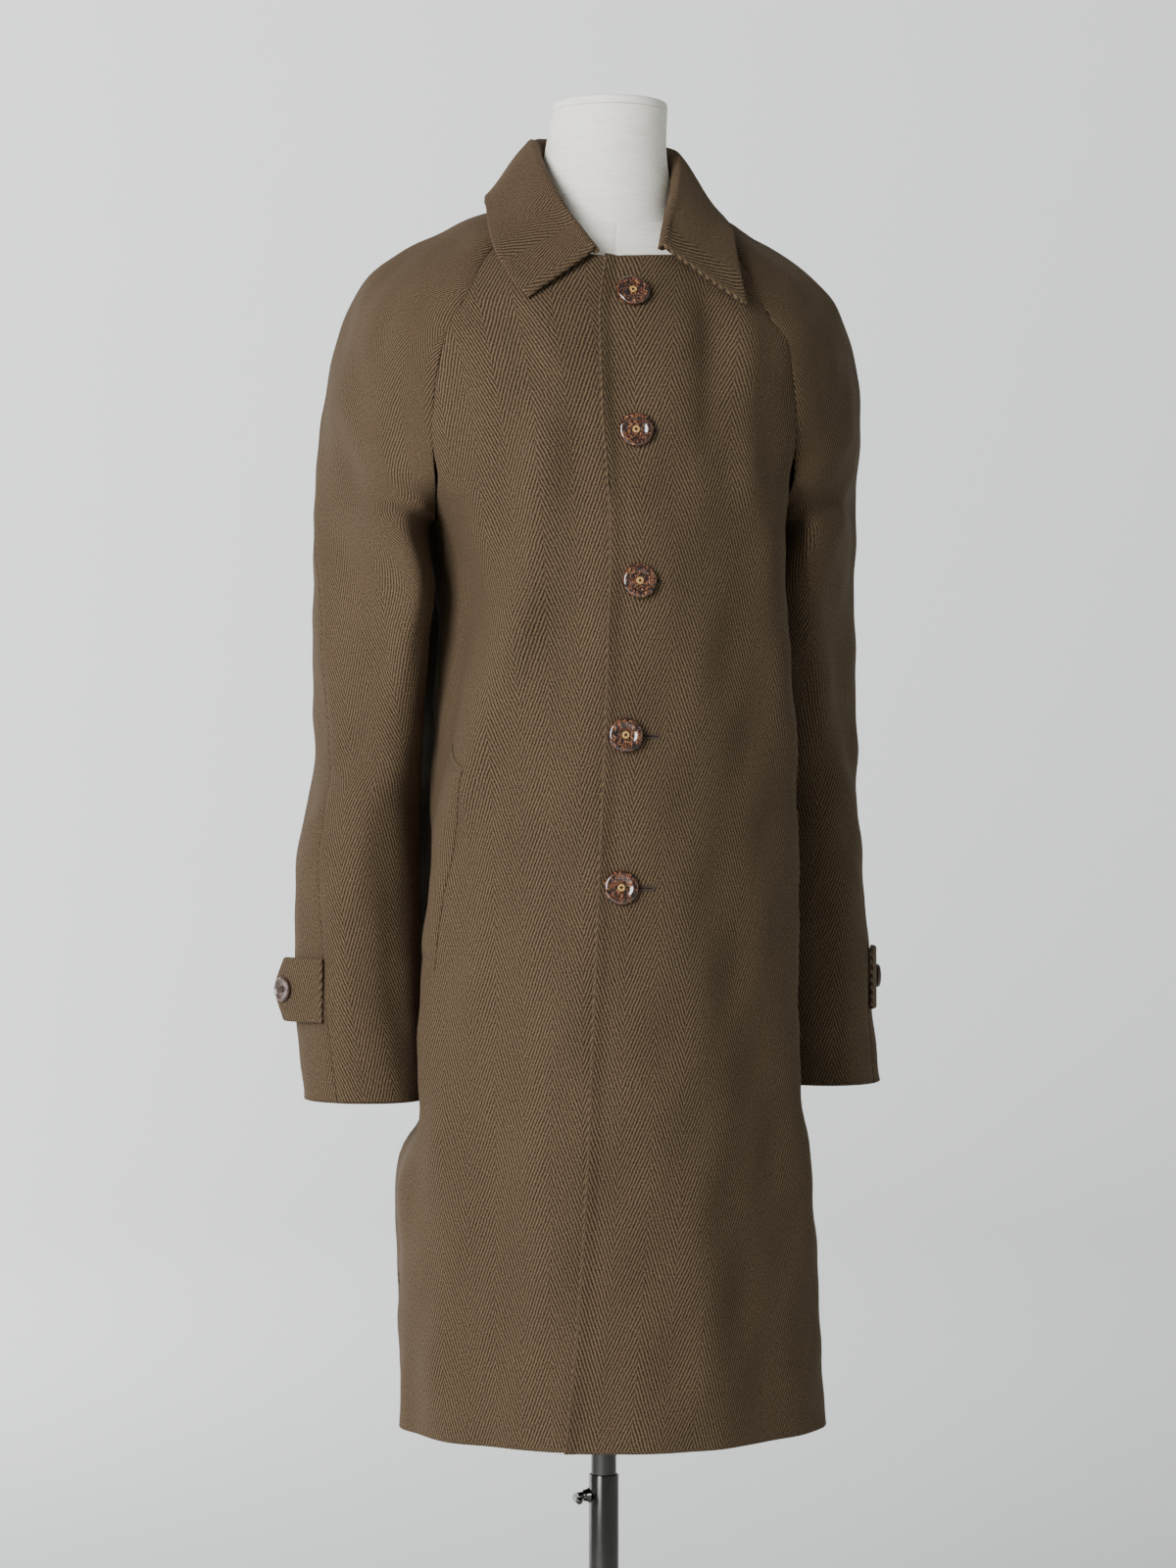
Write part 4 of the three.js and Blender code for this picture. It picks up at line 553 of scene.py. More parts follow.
def frontSheet(side, isUpper):
    rows = bodyRows[:, None]
    share = closeEnds(clothLook["frontColumns"], clothLook["frontWidth"])[None, :]
    edgeZ = edgeHeights(rows)
    edgeX = readTable(frontEdge, edgeZ)["x"] if isUpper else np.full_like(edgeZ, clothLook["underEdgeX"])
    edgeAngle = angleAtX(edgeX, edgeZ)
    seamAngle, seamZ = seamPlace(rows, "front")
    scoop = np.where(rows <= skirtRows, 1, mix(clothLook["necklineScoop"], 1, seamRow(rows) / yokeRows))
    angle = mix(edgeAngle, side * seamAngle, share)
    z = mix(edgeZ, seamZ, share ** scoop)
    lift = overlapLift(bodyPoint(angle, z)[..., 0]) if isUpper else 0
    sheet, inward = bodyPoint(angle, z, lift), bodyInward(angle, z)
    uv = bodyUv(angle, z, edgeAngle, side * clothLook["frontProfile"])
    across, up = arcAlong(sheet, 1), arcAlong(sheet, 0)
    sheet = sheet - inward * wander(uv[..., 0], uv[..., 1], side, clothLook["wander"])[..., None]
    if isUpper:
        roll = clothLook["rollHeight"] * edgeFall(across, clothLook["rollReach"])
        groove = clothLook["grooveDepth"] * np.exp(-(((across - clothLook["grooveAt"]) / 3) ** 2))
        sheet = sheet - inward * (roll - groove)[..., None]
    free = np.minimum(across, np.minimum(up, up[-1:] - up))
    return seamAndEdge(sheet, inward, across[:, -1:] - across, free, clothLook["thickness"]) + (inward, uv)


def backSheet():
    rows = bodyRows[:, None]
    share = closeEnds(clothLook["backColumns"], clothLook["backWidth"])[None, :]
    seamAngle, seamZ = seamPlace(rows, "back")
    angle = mix(seamAngle, 360 - seamAngle, share)
    z = seamZ + np.where(rows > skirtRows, 16, 0) * share * (1 - share)
    sheet, inward = bodyPoint(angle, z), bodyInward(angle, z)
    uv = bodyUv(angle, z, 180 + clothLook["backTurn"], clothLook["backProfile"])
    across, up = arcAlong(sheet, 1), arcAlong(sheet, 0)
    sheet = sheet - inward * wander(uv[..., 0], uv[..., 1], 2.3, clothLook["wander"])[..., None]
    sides = np.minimum(across, across[:, -1:] - across)
    free = np.minimum(up, up[-1:] - up)
    return seamAndEdge(sheet, inward, sides, free, clothLook["thickness"]) + (inward, uv)


under, underThickness, underRound, underInward, underUv = frontSheet(-1, False)
upper, upperThickness, upperRound, upperInward, upperUv = frontSheet(1, True)
back, backThickness, backRound, backInward, backUv = backSheet()
rightFront = clothShell("rightFront", under, underInward, underThickness, underUv, underRound)
leftFront = clothShell("leftFront", upper, upperInward, upperThickness, upperUv, upperRound)
backPanel = clothShell("backPanel", back, backInward, backThickness, backUv, backRound)
finishPiece(rightFront, wool, "dress_form", "right_front")
finishPiece(leftFront, wool, "dress_form", "left_front")
finishPiece(backPanel, wool, "dress_form", "back")

print("sleeves")


def bezier(a, b, c, d, t):
    s = 1 - t
    return a * s**3 + b * 3 * s * s * t + c * 3 * s * t * t + d * t**3


def yokeNet(side, index):  # seven points that steer a section of the shoulder
    entry = {name: column[index] for name, column in yoke.items()}
    centre = float(readTable(bodySections, entry["z"])["centre"])
    clear = 1.4 * float(smoothStep((index - 4) / 4))
    start = bodyPoint(side * entry["frontAngle"], entry["frontZ"], clear)
    finish = bodyPoint(side * entry["backAngle"], entry["backZ"], clear)
    ridge = vec(centre + entry["lean"] + side * entry["out"], entry["y"], entry["z"])
    return np.array([
        start, start + vec(side * entry["fOut"], -entry["fFwd"], entry["fUp"]),
        ridge + vec(-side * entry["rIn"], -entry["rFwd"], 0), ridge, ridge + vec(0, entry["rBack"], 0),
        finish + vec(side * entry["bOut"], entry["bAft"], entry["bUp"]), finish])


def tubeNet(side, entry):  # the same seven points for a hanging section, from its ellipse
    halfWidth = (entry["outer"] - entry["inner"]) / 2
    centreX = side * (entry["outer"] + entry["inner"]) / 2

    def onEllipse(turn):
        turn = math.radians(turn)
        return vec(centreX + side * halfWidth * math.sin(turn), entry["y"] - entry["depth"] * math.cos(turn),
                   entry["z"])

    def along(turn):
        turn = math.radians(turn)
        return vec(side * halfWidth * math.cos(turn), entry["depth"] * math.sin(turn), 0)

    seam = entry["seamTurn"]
    first = 4 / 3 * math.tan(math.radians(seam + 90) / 4)
    second = 4 / 3 * math.tan(math.radians(270 - seam) / 4)
    start, ridge = onEllipse(-90), onEllipse(seam)
    return np.array([
        start, start + along(-90) * first + vec(0, -entry["full"] / 2, 0),
        ridge - along(seam) * first + vec(-side * entry["full"], -entry["full"] / 3, 0), ridge,
        ridge + along(seam) * second, start - along(-90) * second, start])


def gridInward(sheet, side, closed):
    wrapped = np.concatenate([sheet[:, -2:-1], sheet, sheet[:, 1:2]], axis=1)
    across = np.where(closed[:, None, None], wrapped[:, 2:] - wrapped[:, :-2], np.gradient(sheet, axis=1))
    down = np.gradient(sheet, axis=0)
    return unit(np.cross(across, down)) * side


def sleeveSheet(side):
    table = rightSleeve if side < 0 else leftSleeve
    nets = [yokeNet(side, index) for index in range(yokeRows + 1)]
    for index in range(len(table["z"]) - 1, -1, -1):
        nets.append(tubeNet(side, {name: column[index] for name, column in table.items()}))
    nets = np.array(nets)
    lastNet = len(nets) - 1
    places = np.concatenate([[0, 0.05, 0.1, 0.16, 0.24], np.linspace(0.35, lastNet - 0.4, 132),
                             lastNet - np.array([0.28, 0.2, 0.13, 0.08, 0.04, 0])])
    index = np.clip(np.floor(places).astype(int), 0, lastNet - 1)
    t = (places - index)[:, None, None]
    before, here = nets[np.maximum(index - 1, 0)], nets[index]
    after, beyond = nets[index + 1], nets[np.minimum(index + 2, lastNet)]
    net = hermite(t, here, (after - before) / 2, after, (beyond - here) / 2)
    share = closeEnds(clothLook["sleeveColumns"], clothLook["sleeveWidth"])
    half = np.concatenate([share, 1 + share[1:]])
    front, rear = np.clip(half, 0, 1)[None, :, None], np.clip(half - 1, 0, 1)[None, :, None]
    p = [net[:, k][:, None] for k in range(7)]
    sheet = np.where((half <= 1)[None, :, None], bezier(*p[0:4], front), bezier(*p[3:7], rear))
    closed = places >= yokeRows
    inward = gridInward(sheet, side, closed)
    turn = np.where(half <= 1, mix(-90, 75, half), mix(75, 270, half - 1))[None, :]
    ends = smoothStep(np.minimum(half, 2 - half) * 8 / 3)[None, :]
    blend = smoothStep((places - 5) / 4)[:, None]
    z = sheet[..., 2]
    rise = 0
    for foldZ, foldTurn, slope, height, spread, length in sleeveFolds[side]:
        centre = foldTurn + slope * (foldZ - z) / 100
        rise = rise + height * np.exp(-(((turn - centre) / spread) ** 2) - ((z - foldZ) / length) ** 2)
    sheet = sheet - inward * (rise * blend * ends)[..., None]
    middle = len(share) - 1
    down = arcAlong(sheet, 0)
    across = arcAlong(sheet, 1)
    u = across - across[:, middle:middle + 1]
    v = np.broadcast_to(-down[:, middle:middle + 1], u.shape)
    inward = gridInward(sheet, side, closed)
    own = smoothStep((places - 4) / 3)[:, None]
    for column, which in ((0, "front"), (-1, "back")):
        entry = readTable(yoke, np.clip(places, 0, yokeRows))
        body = bodyInward(side * entry[which + "Angle"], entry[which + "Z"])
        inward[:, column] = unit(inward[:, column] * own + body * (1 - own))
    sheet = sheet - inward * (wander(u, v, side * 3.1, clothLook["sleeveWander"]) * ends)[..., None]
    seams = np.minimum(np.minimum(across, across[:, -1:] - across), np.abs(u))
    free = np.minimum(down, down[-1:] - down)
    uv = np.stack([u, v], axis=-1)
    sheet, thickness, roundness = seamAndEdge(sheet, inward, seams, free, clothLook["thickness"])
    return sheet, thickness, roundness, inward, uv, middle


sleeves, sleeveShells = {}, {}
for side, word in ((-1, "right"), (1, "left")):
    sheet, thickness, roundness, inward, uv, middle = sleeveSheet(side)
    sleeves[side] = (sheet, inward)
    for part, columns in (("front", slice(0, middle + 1)), ("back", slice(middle, None))):
        shell = clothShell(f"{word}Sleeve{part.title()}", sheet[:, columns], inward[:, columns],
                           thickness[:, columns], uv[:, columns] + [0, clothLook["sleeveUvShift"]],
                           roundness[:, columns])
        finishPiece(shell, wool, "dress_form", f"{word}_sleeve_{part}")
        sleeveShells[side, part] = shell

print("collar")
collarLook = {"stations": 180, "steps": 11, "thickness": 3.2, "edgeThickness": 4.4, "edgeReach": 9,
              "length": 560, "start": -15, "end": -343.5, "ripple": 0.5, "smoothFor": 50,
              "stripeStep": 30, "stripeShift": 12.5}


def necklineTable():
    panels = [(under[-1], underInward[-1]), (upper[-1], upperInward[-1]), (back[-1], backInward[-1])]
    panels += [(sleeves[side][0][0], sleeves[side][1][0]) for side in (-1, 1)]
    line = np.concatenate([sheet + inward * clothLook["thickness"] / 2 for sheet, inward in panels])
    turn = np.degrees(np.arctan2(line[:, 0], -line[:, 1]))
    turn = np.where(turn > 12, turn - 360, turn)
    order = np.argsort(turn)
    return turn[order], line[order]


def smoothCurve(points, steps):  # centripetal curve through five points, for every station at once
    points = [2 * points[0] - points[1]] + points + [2 * points[-1] - points[-2]]
    result = []
    for k in range(len(points) - 3):
        a, b, c, d = points[k:k + 4]
        gaps = [np.sqrt(np.linalg.norm(q - p, axis=-1, keepdims=True)) for p, q in ((a, b), (b, c), (c, d))]
        first = ((b - a) / gaps[0] - (c - a) / (gaps[0] + gaps[1]) + (c - b) / gaps[1]) * gaps[1]
        second = ((c - b) / gaps[1] - (d - b) / (gaps[1] + gaps[2]) + (d - c) / gaps[2]) * gaps[1]
        last = k == len(points) - 4
        for t in np.linspace(0, 1, steps + 1)[:None if last else -1]:
            result.append(hermite(t, b, first, c, second))
    return np.stack(result, axis=1)


def collarSheet():
    share = closeEnds(collarLook["stations"], collarLook["length"])
    turn = mix(collarLook["start"], collarLook["end"], share)
    station = readTable(collarStations, turn)
    places, line = necklineTable()
    seam = np.stack([np.interp(turn, places, line[:, axis]) for axis in range(3)], axis=-1)
    seam[:, 2] += station["lift"]
    roll = vec(station["rollX"], station["rollY"], station["rollZ"])
    edge = vec(station["edgeX"], station["edgeY"], station["edgeZ"])
    outwards = unit((edge - seam) * [1, 1, 0]) * station["bend"][:, None]
    drop = vec(0, 0, -station["bend"])
    return smoothCurve([seam, roll - outwards + drop, roll, roll + outwards + drop, edge], collarLook["steps"])


collarGrid = collarSheet()
collarInward = gridInward(collarGrid, 1, np.zeros(len(collarGrid), bool))
collarDown, collarAlong = arcAlong(collarGrid, 1), arcAlong(collarGrid, 0)
stripeLine = collarAlong[:, collarLook["stripeStep"]]
collarU = (stripeLine - stripeLine[len(collarGrid) // 2] + collarLook["stripeShift"])[:, None]
collarUv = np.stack([np.broadcast_to(collarU, collarDown.shape), collarDown], axis=-1)
nearEnds = np.minimum(collarAlong, collarAlong[-1:] - collarAlong)
nearRim = np.minimum(nearEnds, collarDown[:, -1:] - collarDown)
collarThickness = collarLook["thickness"] + (collarLook["edgeThickness"] - collarLook["thickness"]) * edgeFall(
    nearRim, collarLook["edgeReach"])
ripple = wander(collarUv[..., 0], collarUv[..., 1], 1.1, collarLook["ripple"])
ripple = ripple * smoothStep(collarDown / collarLook["smoothFor"])
collarOuter = collarGrid - collarInward * (collarThickness / 2 + ripple)[..., None]
collar = clothShell("collarLeaf", collarOuter, collarInward, collarThickness, collarUv, roundness=0.9)
finishPiece(collar, wool, "dress_form", "collar")

print("pockets and cuff tabs")
weltLook = {"turn": 14.6, "rise": 20, "seat": 0.15, "thickness": 1.8, "edge": 0.7, "rows": 64, "columns": 22,
            "length": 170, "width": 45, "near": (0, 1.6, 3, 5)}
welts = {
    "rightPocketWelt": ("right_pocket_welt", -1, under, underInward, 48, 950, 61.5, 784),
    "leftPocketWelt": ("left_pocket_welt", 1, upper, upperInward, 55, 950, 68, 786),
}


def sampleGrid(grid, row, column):  # grid values between its points
    i = np.clip(np.floor(row).astype(int), 0, grid.shape[0] - 2)
    j = np.clip(np.floor(column).astype(int), 0, grid.shape[1] - 2)
    a, b = (row - i)[..., None], (column - j)[..., None]
    return mix(mix(grid[i, j], grid[i, j + 1], b), mix(grid[i + 1, j], grid[i + 1, j + 1], b), a)


def frontPlaces(side, angle, z):  # fractional row and column of a front's grid
    edgeX = readTable(frontEdge, z)["x"] if side > 0 else clothLook["underEdgeX"]
    edgeAngle = angleAtX(edgeX, z)
    share = (angle - edgeAngle) / (side * yoke["frontAngle"][-1] - edgeAngle)
    place = (z - hemHeight) / (underarmHeight - hemHeight) * skirtRows
    shares = closeEnds(clothLook["frontColumns"], clothLook["frontWidth"])
    return (np.interp(place, bodyRows, np.arange(len(bodyRows))),
            np.interp(share, shares, np.arange(len(shares))))


for name, (node, side, panel, panelInward, topAngle, topZ, bottomAngle, bottomZ) in welts.items():
    down = closeEnds(weltLook["rows"], weltLook["length"], weltLook["near"])[:, None]
    around = closeEnds(weltLook["columns"], weltLook["width"], weltLook["near"])[None, :]
    z = mix(topZ, bottomZ, down) + weltLook["rise"] * around
    angle = side * (mix(topAngle, bottomAngle, down) + weltLook["turn"] * around)
    row, column = frontPlaces(side, angle, z)
    point, inward = sampleGrid(panel, row, column), unit(sampleGrid(panelInward, row, column))
    fromEdge = np.minimum(np.minimum(down, 1 - down) * weltLook["length"],
                          np.minimum(around, 1 - around) * weltLook["width"])
    thickness = mix(weltLook["thickness"], weltLook["edge"], edgeFall(fromEdge, 3))
    outer = point - inward * (weltLook["seat"] + thickness)[..., None]
    uv = np.stack([arcAlong(outer, 1) + 3, arcAlong(outer, 0)], axis=-1)
    welt = clothShell(name, outer, inward, thickness, uv, roundness=0.6, seamGap=0)
    finishPiece(welt, wool, "dress_form", node)

tabLook = {"halfWidth": 27, "point": 15, "thickness": 3, "buttonPlace": 0.72, "rows": 26, "columns": 40,
           "near": (0, 1.5, 3, 5), "belly": 0.8, "buttonStand": 1.2}
tabs = {"right": (-1, rightSleeve, 764.5, 62, 18, 0.5), "left": (1, leftSleeve, 770, 60, 33, 1.8)}


def tabFrame(side, table, z, length, bend, share):  # place on the line along a tab, and the way out from it
    entry = {key: float(value) for key, value in readTable(table, z).items()}
    turn = math.radians(entry["seamTurn"])
    halfWidth = (entry["outer"] - entry["inner"]) / 2
    start = math.atan2(entry["depth"] * math.sin(turn), halfWidth * math.cos(turn))
    place = vec(side * ((entry["outer"] + entry["inner"]) / 2 + halfWidth * math.sin(turn)),
                entry["y"] - entry["depth"] * math.cos(turn), z)
    steps = 12
    for k in range(steps):
        angle = start + math.radians(bend) * share * (k + 0.5) / steps
        place = place + vec(side * np.cos(angle), np.sin(angle), 0) * (length * share / steps)[..., None]
    angle = start + math.radians(bend) * share
    return place, vec(side * np.sin(angle), -np.cos(angle), 0)


tabPieces, tabButtons = {}, {}
for word, (side, table, z, length, bend, stand) in tabs.items():
    share = closeEnds(tabLook["columns"], length, tabLook["near"])[None, :]
    up = closeEnds(tabLook["rows"], 2 * tabLook["halfWidth"], tabLook["near"])[:, None]
    place, outward = tabFrame(side, table, z, length, bend, share)
    left = length * (1 - share)
    softened = 2 + (tabLook["halfWidth"] - 2) * np.minimum(1, left / tabLook["point"]) ** 0.92
    lift = tabLook["belly"] * np.sin(math.pi * share) * (1 - 0.4 * up)  # it bellies a little
    outer = place + vec(0, 0, 1) * (mix(-1, 1, up) * softened)[..., None] + outward * (
        stand + tabLook["thickness"] + lift)[..., None]
    inward = np.broadcast_to(-outward, outer.shape)
    uv = np.stack([arcAlong(outer, 1) + 6, arcAlong(outer, 0)], axis=-1)
    tab = clothShell(f"{word}CuffTab", outer, inward, tabLook["thickness"], uv, roundness=0.9, seamGap=0)
    tabPieces[word] = finishPiece(tab, wool, "dress_form", f"{word}_cuff_tab")
    place, outward = tabFrame(side, table, z, length, bend, np.array(tabLook["buttonPlace"]))
    tabButtons[word] = (place + outward * (stand + tabLook["thickness"] + tabLook["buttonStand"]), outward)

print("buttons")
frontButtonLook = {
    "radius": 14, "thickness": 5.2, "hole": 1.05, "holeSpread": 2.0, "thread": 0.5, "turns": (12, -20, 35, 4, 48),
    "segments": 72, "stand": 0.9, "holeReach": (16, 18, 17.6, 28.2, 26.6),
    "places": ((1.3, 1337), (-1.8, 1222), (-0.9, 1100), (-13, 976), (-16.9, 854)),
    "profile": ((0, 0), (0.84, 0), (0.93, 0.07), (0.985, 0.22), (1, 0.38), (1, 0.55), (0.975, 0.74), (0.93, 0.88),
                (0.86, 0.97), (0.78, 1), (0.71, 0.985), (0.64, 0.93), (0.56, 0.84), (0.46, 0.76), (0.34, 0.71),
                (0.001, 0.7)),
}
cuffButtonLook = {
    "radius": 10.25, "thickness": 4, "hole": 0.95, "holeSpread": 1.8, "thread": 0.42, "turns": (10, 40),
    "segments": 72,
    "profile": ((0, 0), (0.84, 0), (0.94, 0.1), (1, 0.35), (1, 0.6), (0.97, 0.85), (0.92, 0.97), (0.86, 1),
                (0.8, 0.96), (0.76, 0.82), (0.7, 0.7), (0.6, 0.66), (0.001, 0.66)),
}


def spun(profile, segments, name):  # a profile of radius and height, turned about Z
    count = len(profile)
    closed = profile[0][0] > 0 and profile[-1][0] > 0
    points = [(0.0, 0.0, profile[0][1])] if not closed else []
    for k in range(segments):
        angle = 2 * math.pi * k / segments
        inner = profile if closed else profile[1:-1]
        points += [(r * math.cos(angle), r * math.sin(angle), z) for r, z in inner]
    step = count if closed else count - 2
    first = 0 if closed else 1
    faces = []
    if not closed:
        points.append((0.0, 0.0, profile[-1][1]))
    for k in range(segments):
        a, b = first + k * step, first + (k + 1) % segments * step
        for i in range(step if closed else step - 1):
            faces.append((a + i, b + i, b + (i + 1) % step, a + (i + 1) % step))
        if not closed:
            faces.append((0, b, a))
            faces.append((len(points) - 1, a + step - 1, b + step - 1))
    obj = meshObject(name, np.array(points) * mm, faces)
    turnOutwards(obj)
    return obj


def turnOutwards(obj, sharpAngle=40):
    shape = bmesh.new()
    shape.from_mesh(obj.data)
    bmesh.ops.remove_doubles(shape, verts=shape.verts, dist=1e-6)
    bmesh.ops.recalc_face_normals(shape, faces=shape.faces)
    shape.to_mesh(obj.data)
    shape.free()
    obj.data.polygons.foreach_set("use_smooth", [True] * len(obj.data.polygons))
    obj.data.set_sharp_from_angle(angle=math.radians(sharpAngle))


def ringFaces(count, rings):  # quads between rings of points, with a flat cap at each end
    faces = [tuple(range(count))[::-1]]
    for k in range(rings - 1):
        for s in range(count):
            n = (s + 1) % count
            faces.append((k * count + s, k * count + n, (k + 1) * count + n, (k + 1) * count + s))
    faces.append(tuple(range((rings - 1) * count, rings * count)))
    return faces


def tubeAlong(points, radius, sides=10):  # a round cord through points, with rounded ends
    points = np.asarray(points, float)
    tangents = unit(np.gradient(points, axis=0))
    across = unit(np.cross(tangents[0], [0.31, 0.52, 0.79]))
    rings, ends = [], ((0.35, 0.94), (0.75, 0.66))
    centres = [points[0] - tangents[0] * radius * b for b, a in ends[::-1]] + list(points)
    centres += [points[-1] + tangents[-1] * radius * b for b, a in ends]
    sizes = [a for b, a in ends[::-1]] + [1] * len(points) + [a for b, a in ends]
    ways = [tangents[0]] * 2 + list(tangents) + [tangents[-1]] * 2
    angles = np.linspace(0, 2 * math.pi, sides, endpoint=False)
    for centre, size, way in zip(centres, sizes, ways):
        across = unit(across - way * np.dot(across, way))
        other = np.cross(way, across)
        rings.append(centre + radius * size * (np.cos(angles)[:, None] * across + np.sin(angles)[:, None] * other))
    return np.concatenate(rings), ringFaces(sides, len(rings))


def joined(name, parts):
    verts, faces, start = [], [], 0
    for points, polygons in parts:
        verts.append(points)
        faces += [tuple(int(c) + start for c in face) for face in polygons]
        start += len(points)
    return meshObject(name, np.concatenate(verts) * mm, faces)


def buttonTemplate(look, name):
    radius, thickness = look["radius"], look["thickness"]
    disc = spun([(r * radius, z * thickness) for r, z in look["profile"]], look["segments"], name)
    cutters = []
    for x in (-1, 1):
        for y in (-1, 1):
            centre = np.array([x * look["holeSpread"], y * look["holeSpread"], 0])
            cutters.append(tubeAlong(centre + np.linspace([0, 0, -3], [0, 0, thickness + 3], 3), look["hole"], 20))
    cutter = joined(name + "Holes", cutters)
    cut = disc.modifiers.new("holes", "BOOLEAN")
    cut.operation, cut.object, cut.solver = "DIFFERENCE", cutter, "EXACT"
    bpy.context.view_layer.update()
    evaluated = disc.evaluated_get(bpy.context.evaluated_depsgraph_get())
    mesh = bpy.data.meshes.new_from_object(evaluated)
    for extra in (disc, cutter):
        bpy.data.objects.remove(extra)
    return mesh


threadLook = {"apart": 0.42, "rise": 0.35, "crossing": 0.3, "depth": 1.4, "steps": 13, "sides": 8, "shank": 1.6}


def threadParts(look):  # strands from hole to hole, two side by side, that make a small square
    s, top = look["holeSpread"], look["profile"][-1][1] * look["thickness"]
    parts = []
    corners = [(-s, -s), (s, -s), (s, s), (-s, s)]
    for k in range(4):
        (ax, ay), (bx, by) = corners[k], corners[(k + 1) % 4]
        for shift in (-threadLook["apart"], threadLook["apart"]):
            rise = threadLook["rise"] + threadLook["crossing"] * (k % 2)
            t = np.linspace(0, 1, threadLook["steps"])
            x, y = mix(ax, bx, t), mix(ay, by, t)
            out = shift * np.sin(math.pi * t)
            nx, ny = (by - ay) / (2 * s), -(bx - ax) / (2 * s)
            arch = np.minimum(1, np.sin(math.pi * t) * 2.1)
            z = top - threadLook["depth"] + (threadLook["depth"] + rise + look["thread"]) * arch
            strand = np.stack([x + nx * out, y + ny * out, z], axis=-1)
            parts.append(tubeAlong(strand, look["thread"], threadLook["sides"]))
    return parts


def placeOn(points, centre, outward, turnDegrees):  # from a template that faces +Z to its place on the cloth
    outward = unit(np.asarray(outward, float))
    across = unit(np.cross([0, 0, 1.0], outward))
    upward = np.cross(outward, across)
    a = math.radians(turnDegrees)
    x, y = across * math.cos(a) + upward * math.sin(a), upward * math.cos(a) - across * math.sin(a)
    return centre + points[:, :1] * x + points[:, 1:2] * y + points[:, 2:3] * outward


def spotOn(sheet, inward, x, z):  # the place and the way out of the cloth at x and z
    distance = (sheet[..., 0] - x) ** 2 + (sheet[..., 2] - z) ** 2
    i, j = np.unravel_index(np.argmin(distance), distance.shape)
    point, out = sheet[i, j], -inward[i, j]
    y = point[1] - (out[0] * (x - point[0]) + out[2] * (z - point[2])) / out[1]
    return vec(x, y, z), out


def addButton(name, node, mesh, look, centre, outward, turn, material, thread):
    obj = bpy.data.objects.new(name, mesh.copy())
    bpy.context.scene.collection.objects.link(obj)
    points = np.zeros(len(mesh.vertices) * 3)
    mesh.vertices.foreach_get("co", points)
    placed = placeOn(points.reshape(-1, 3) / mm, centre, outward, turn) * mm
    obj.data.vertices.foreach_set("co", placed.ravel())
    turnOutwards(obj)
    finishPiece(obj, material, "dress_form", node)
    strands = [(placeOn(p, centre, outward, turn), f) for p, f in threadParts(look)]
    shank, shankFaces = tubeAlong(np.linspace([0, 0, -1.6], [0, 0, 0.8], 4), threadLook["shank"])
    strands.append((placeOn(shank, centre, outward, turn), shankFaces))
    finishPiece(joined(name + "Thread", strands), thread, "dress_form")


frontTemplate = buttonTemplate(frontButtonLook, "frontButton")
cuffTemplate = buttonTemplate(cuffButtonLook, "cuffButton")
for k, (x, z) in enumerate(frontButtonLook["places"]):
    spot, outward = spotOn(upper, upperInward, x, z)
    addButton(f"frontButton{k + 1}", f"front_button_{k + 1}", frontTemplate, frontButtonLook,
              spot + outward * frontButtonLook["stand"], outward, frontButtonLook["turns"][k], horn, goldThread)
for word, (place, outward) in tabButtons.items():
    addButton(f"{word}CuffButton", f"{word}_tab_button", cuffTemplate, cuffButtonLook, place, outward,
              cuffButtonLook["turns"][word == "left"], cuffHorn, edgeThread)

print("stitching")
stitchLook = {"length": 2.3, "width": 0.62, "height": 0.5, "spacing": 0.58, "halfSlit": 0.85, "slitStart": -4,
              "slitRadius": 0.55, "endGap": 1.2, "rowSpread": 1.5, "fanSpread": 1.6, "lift": 0.1, "seed": 4}


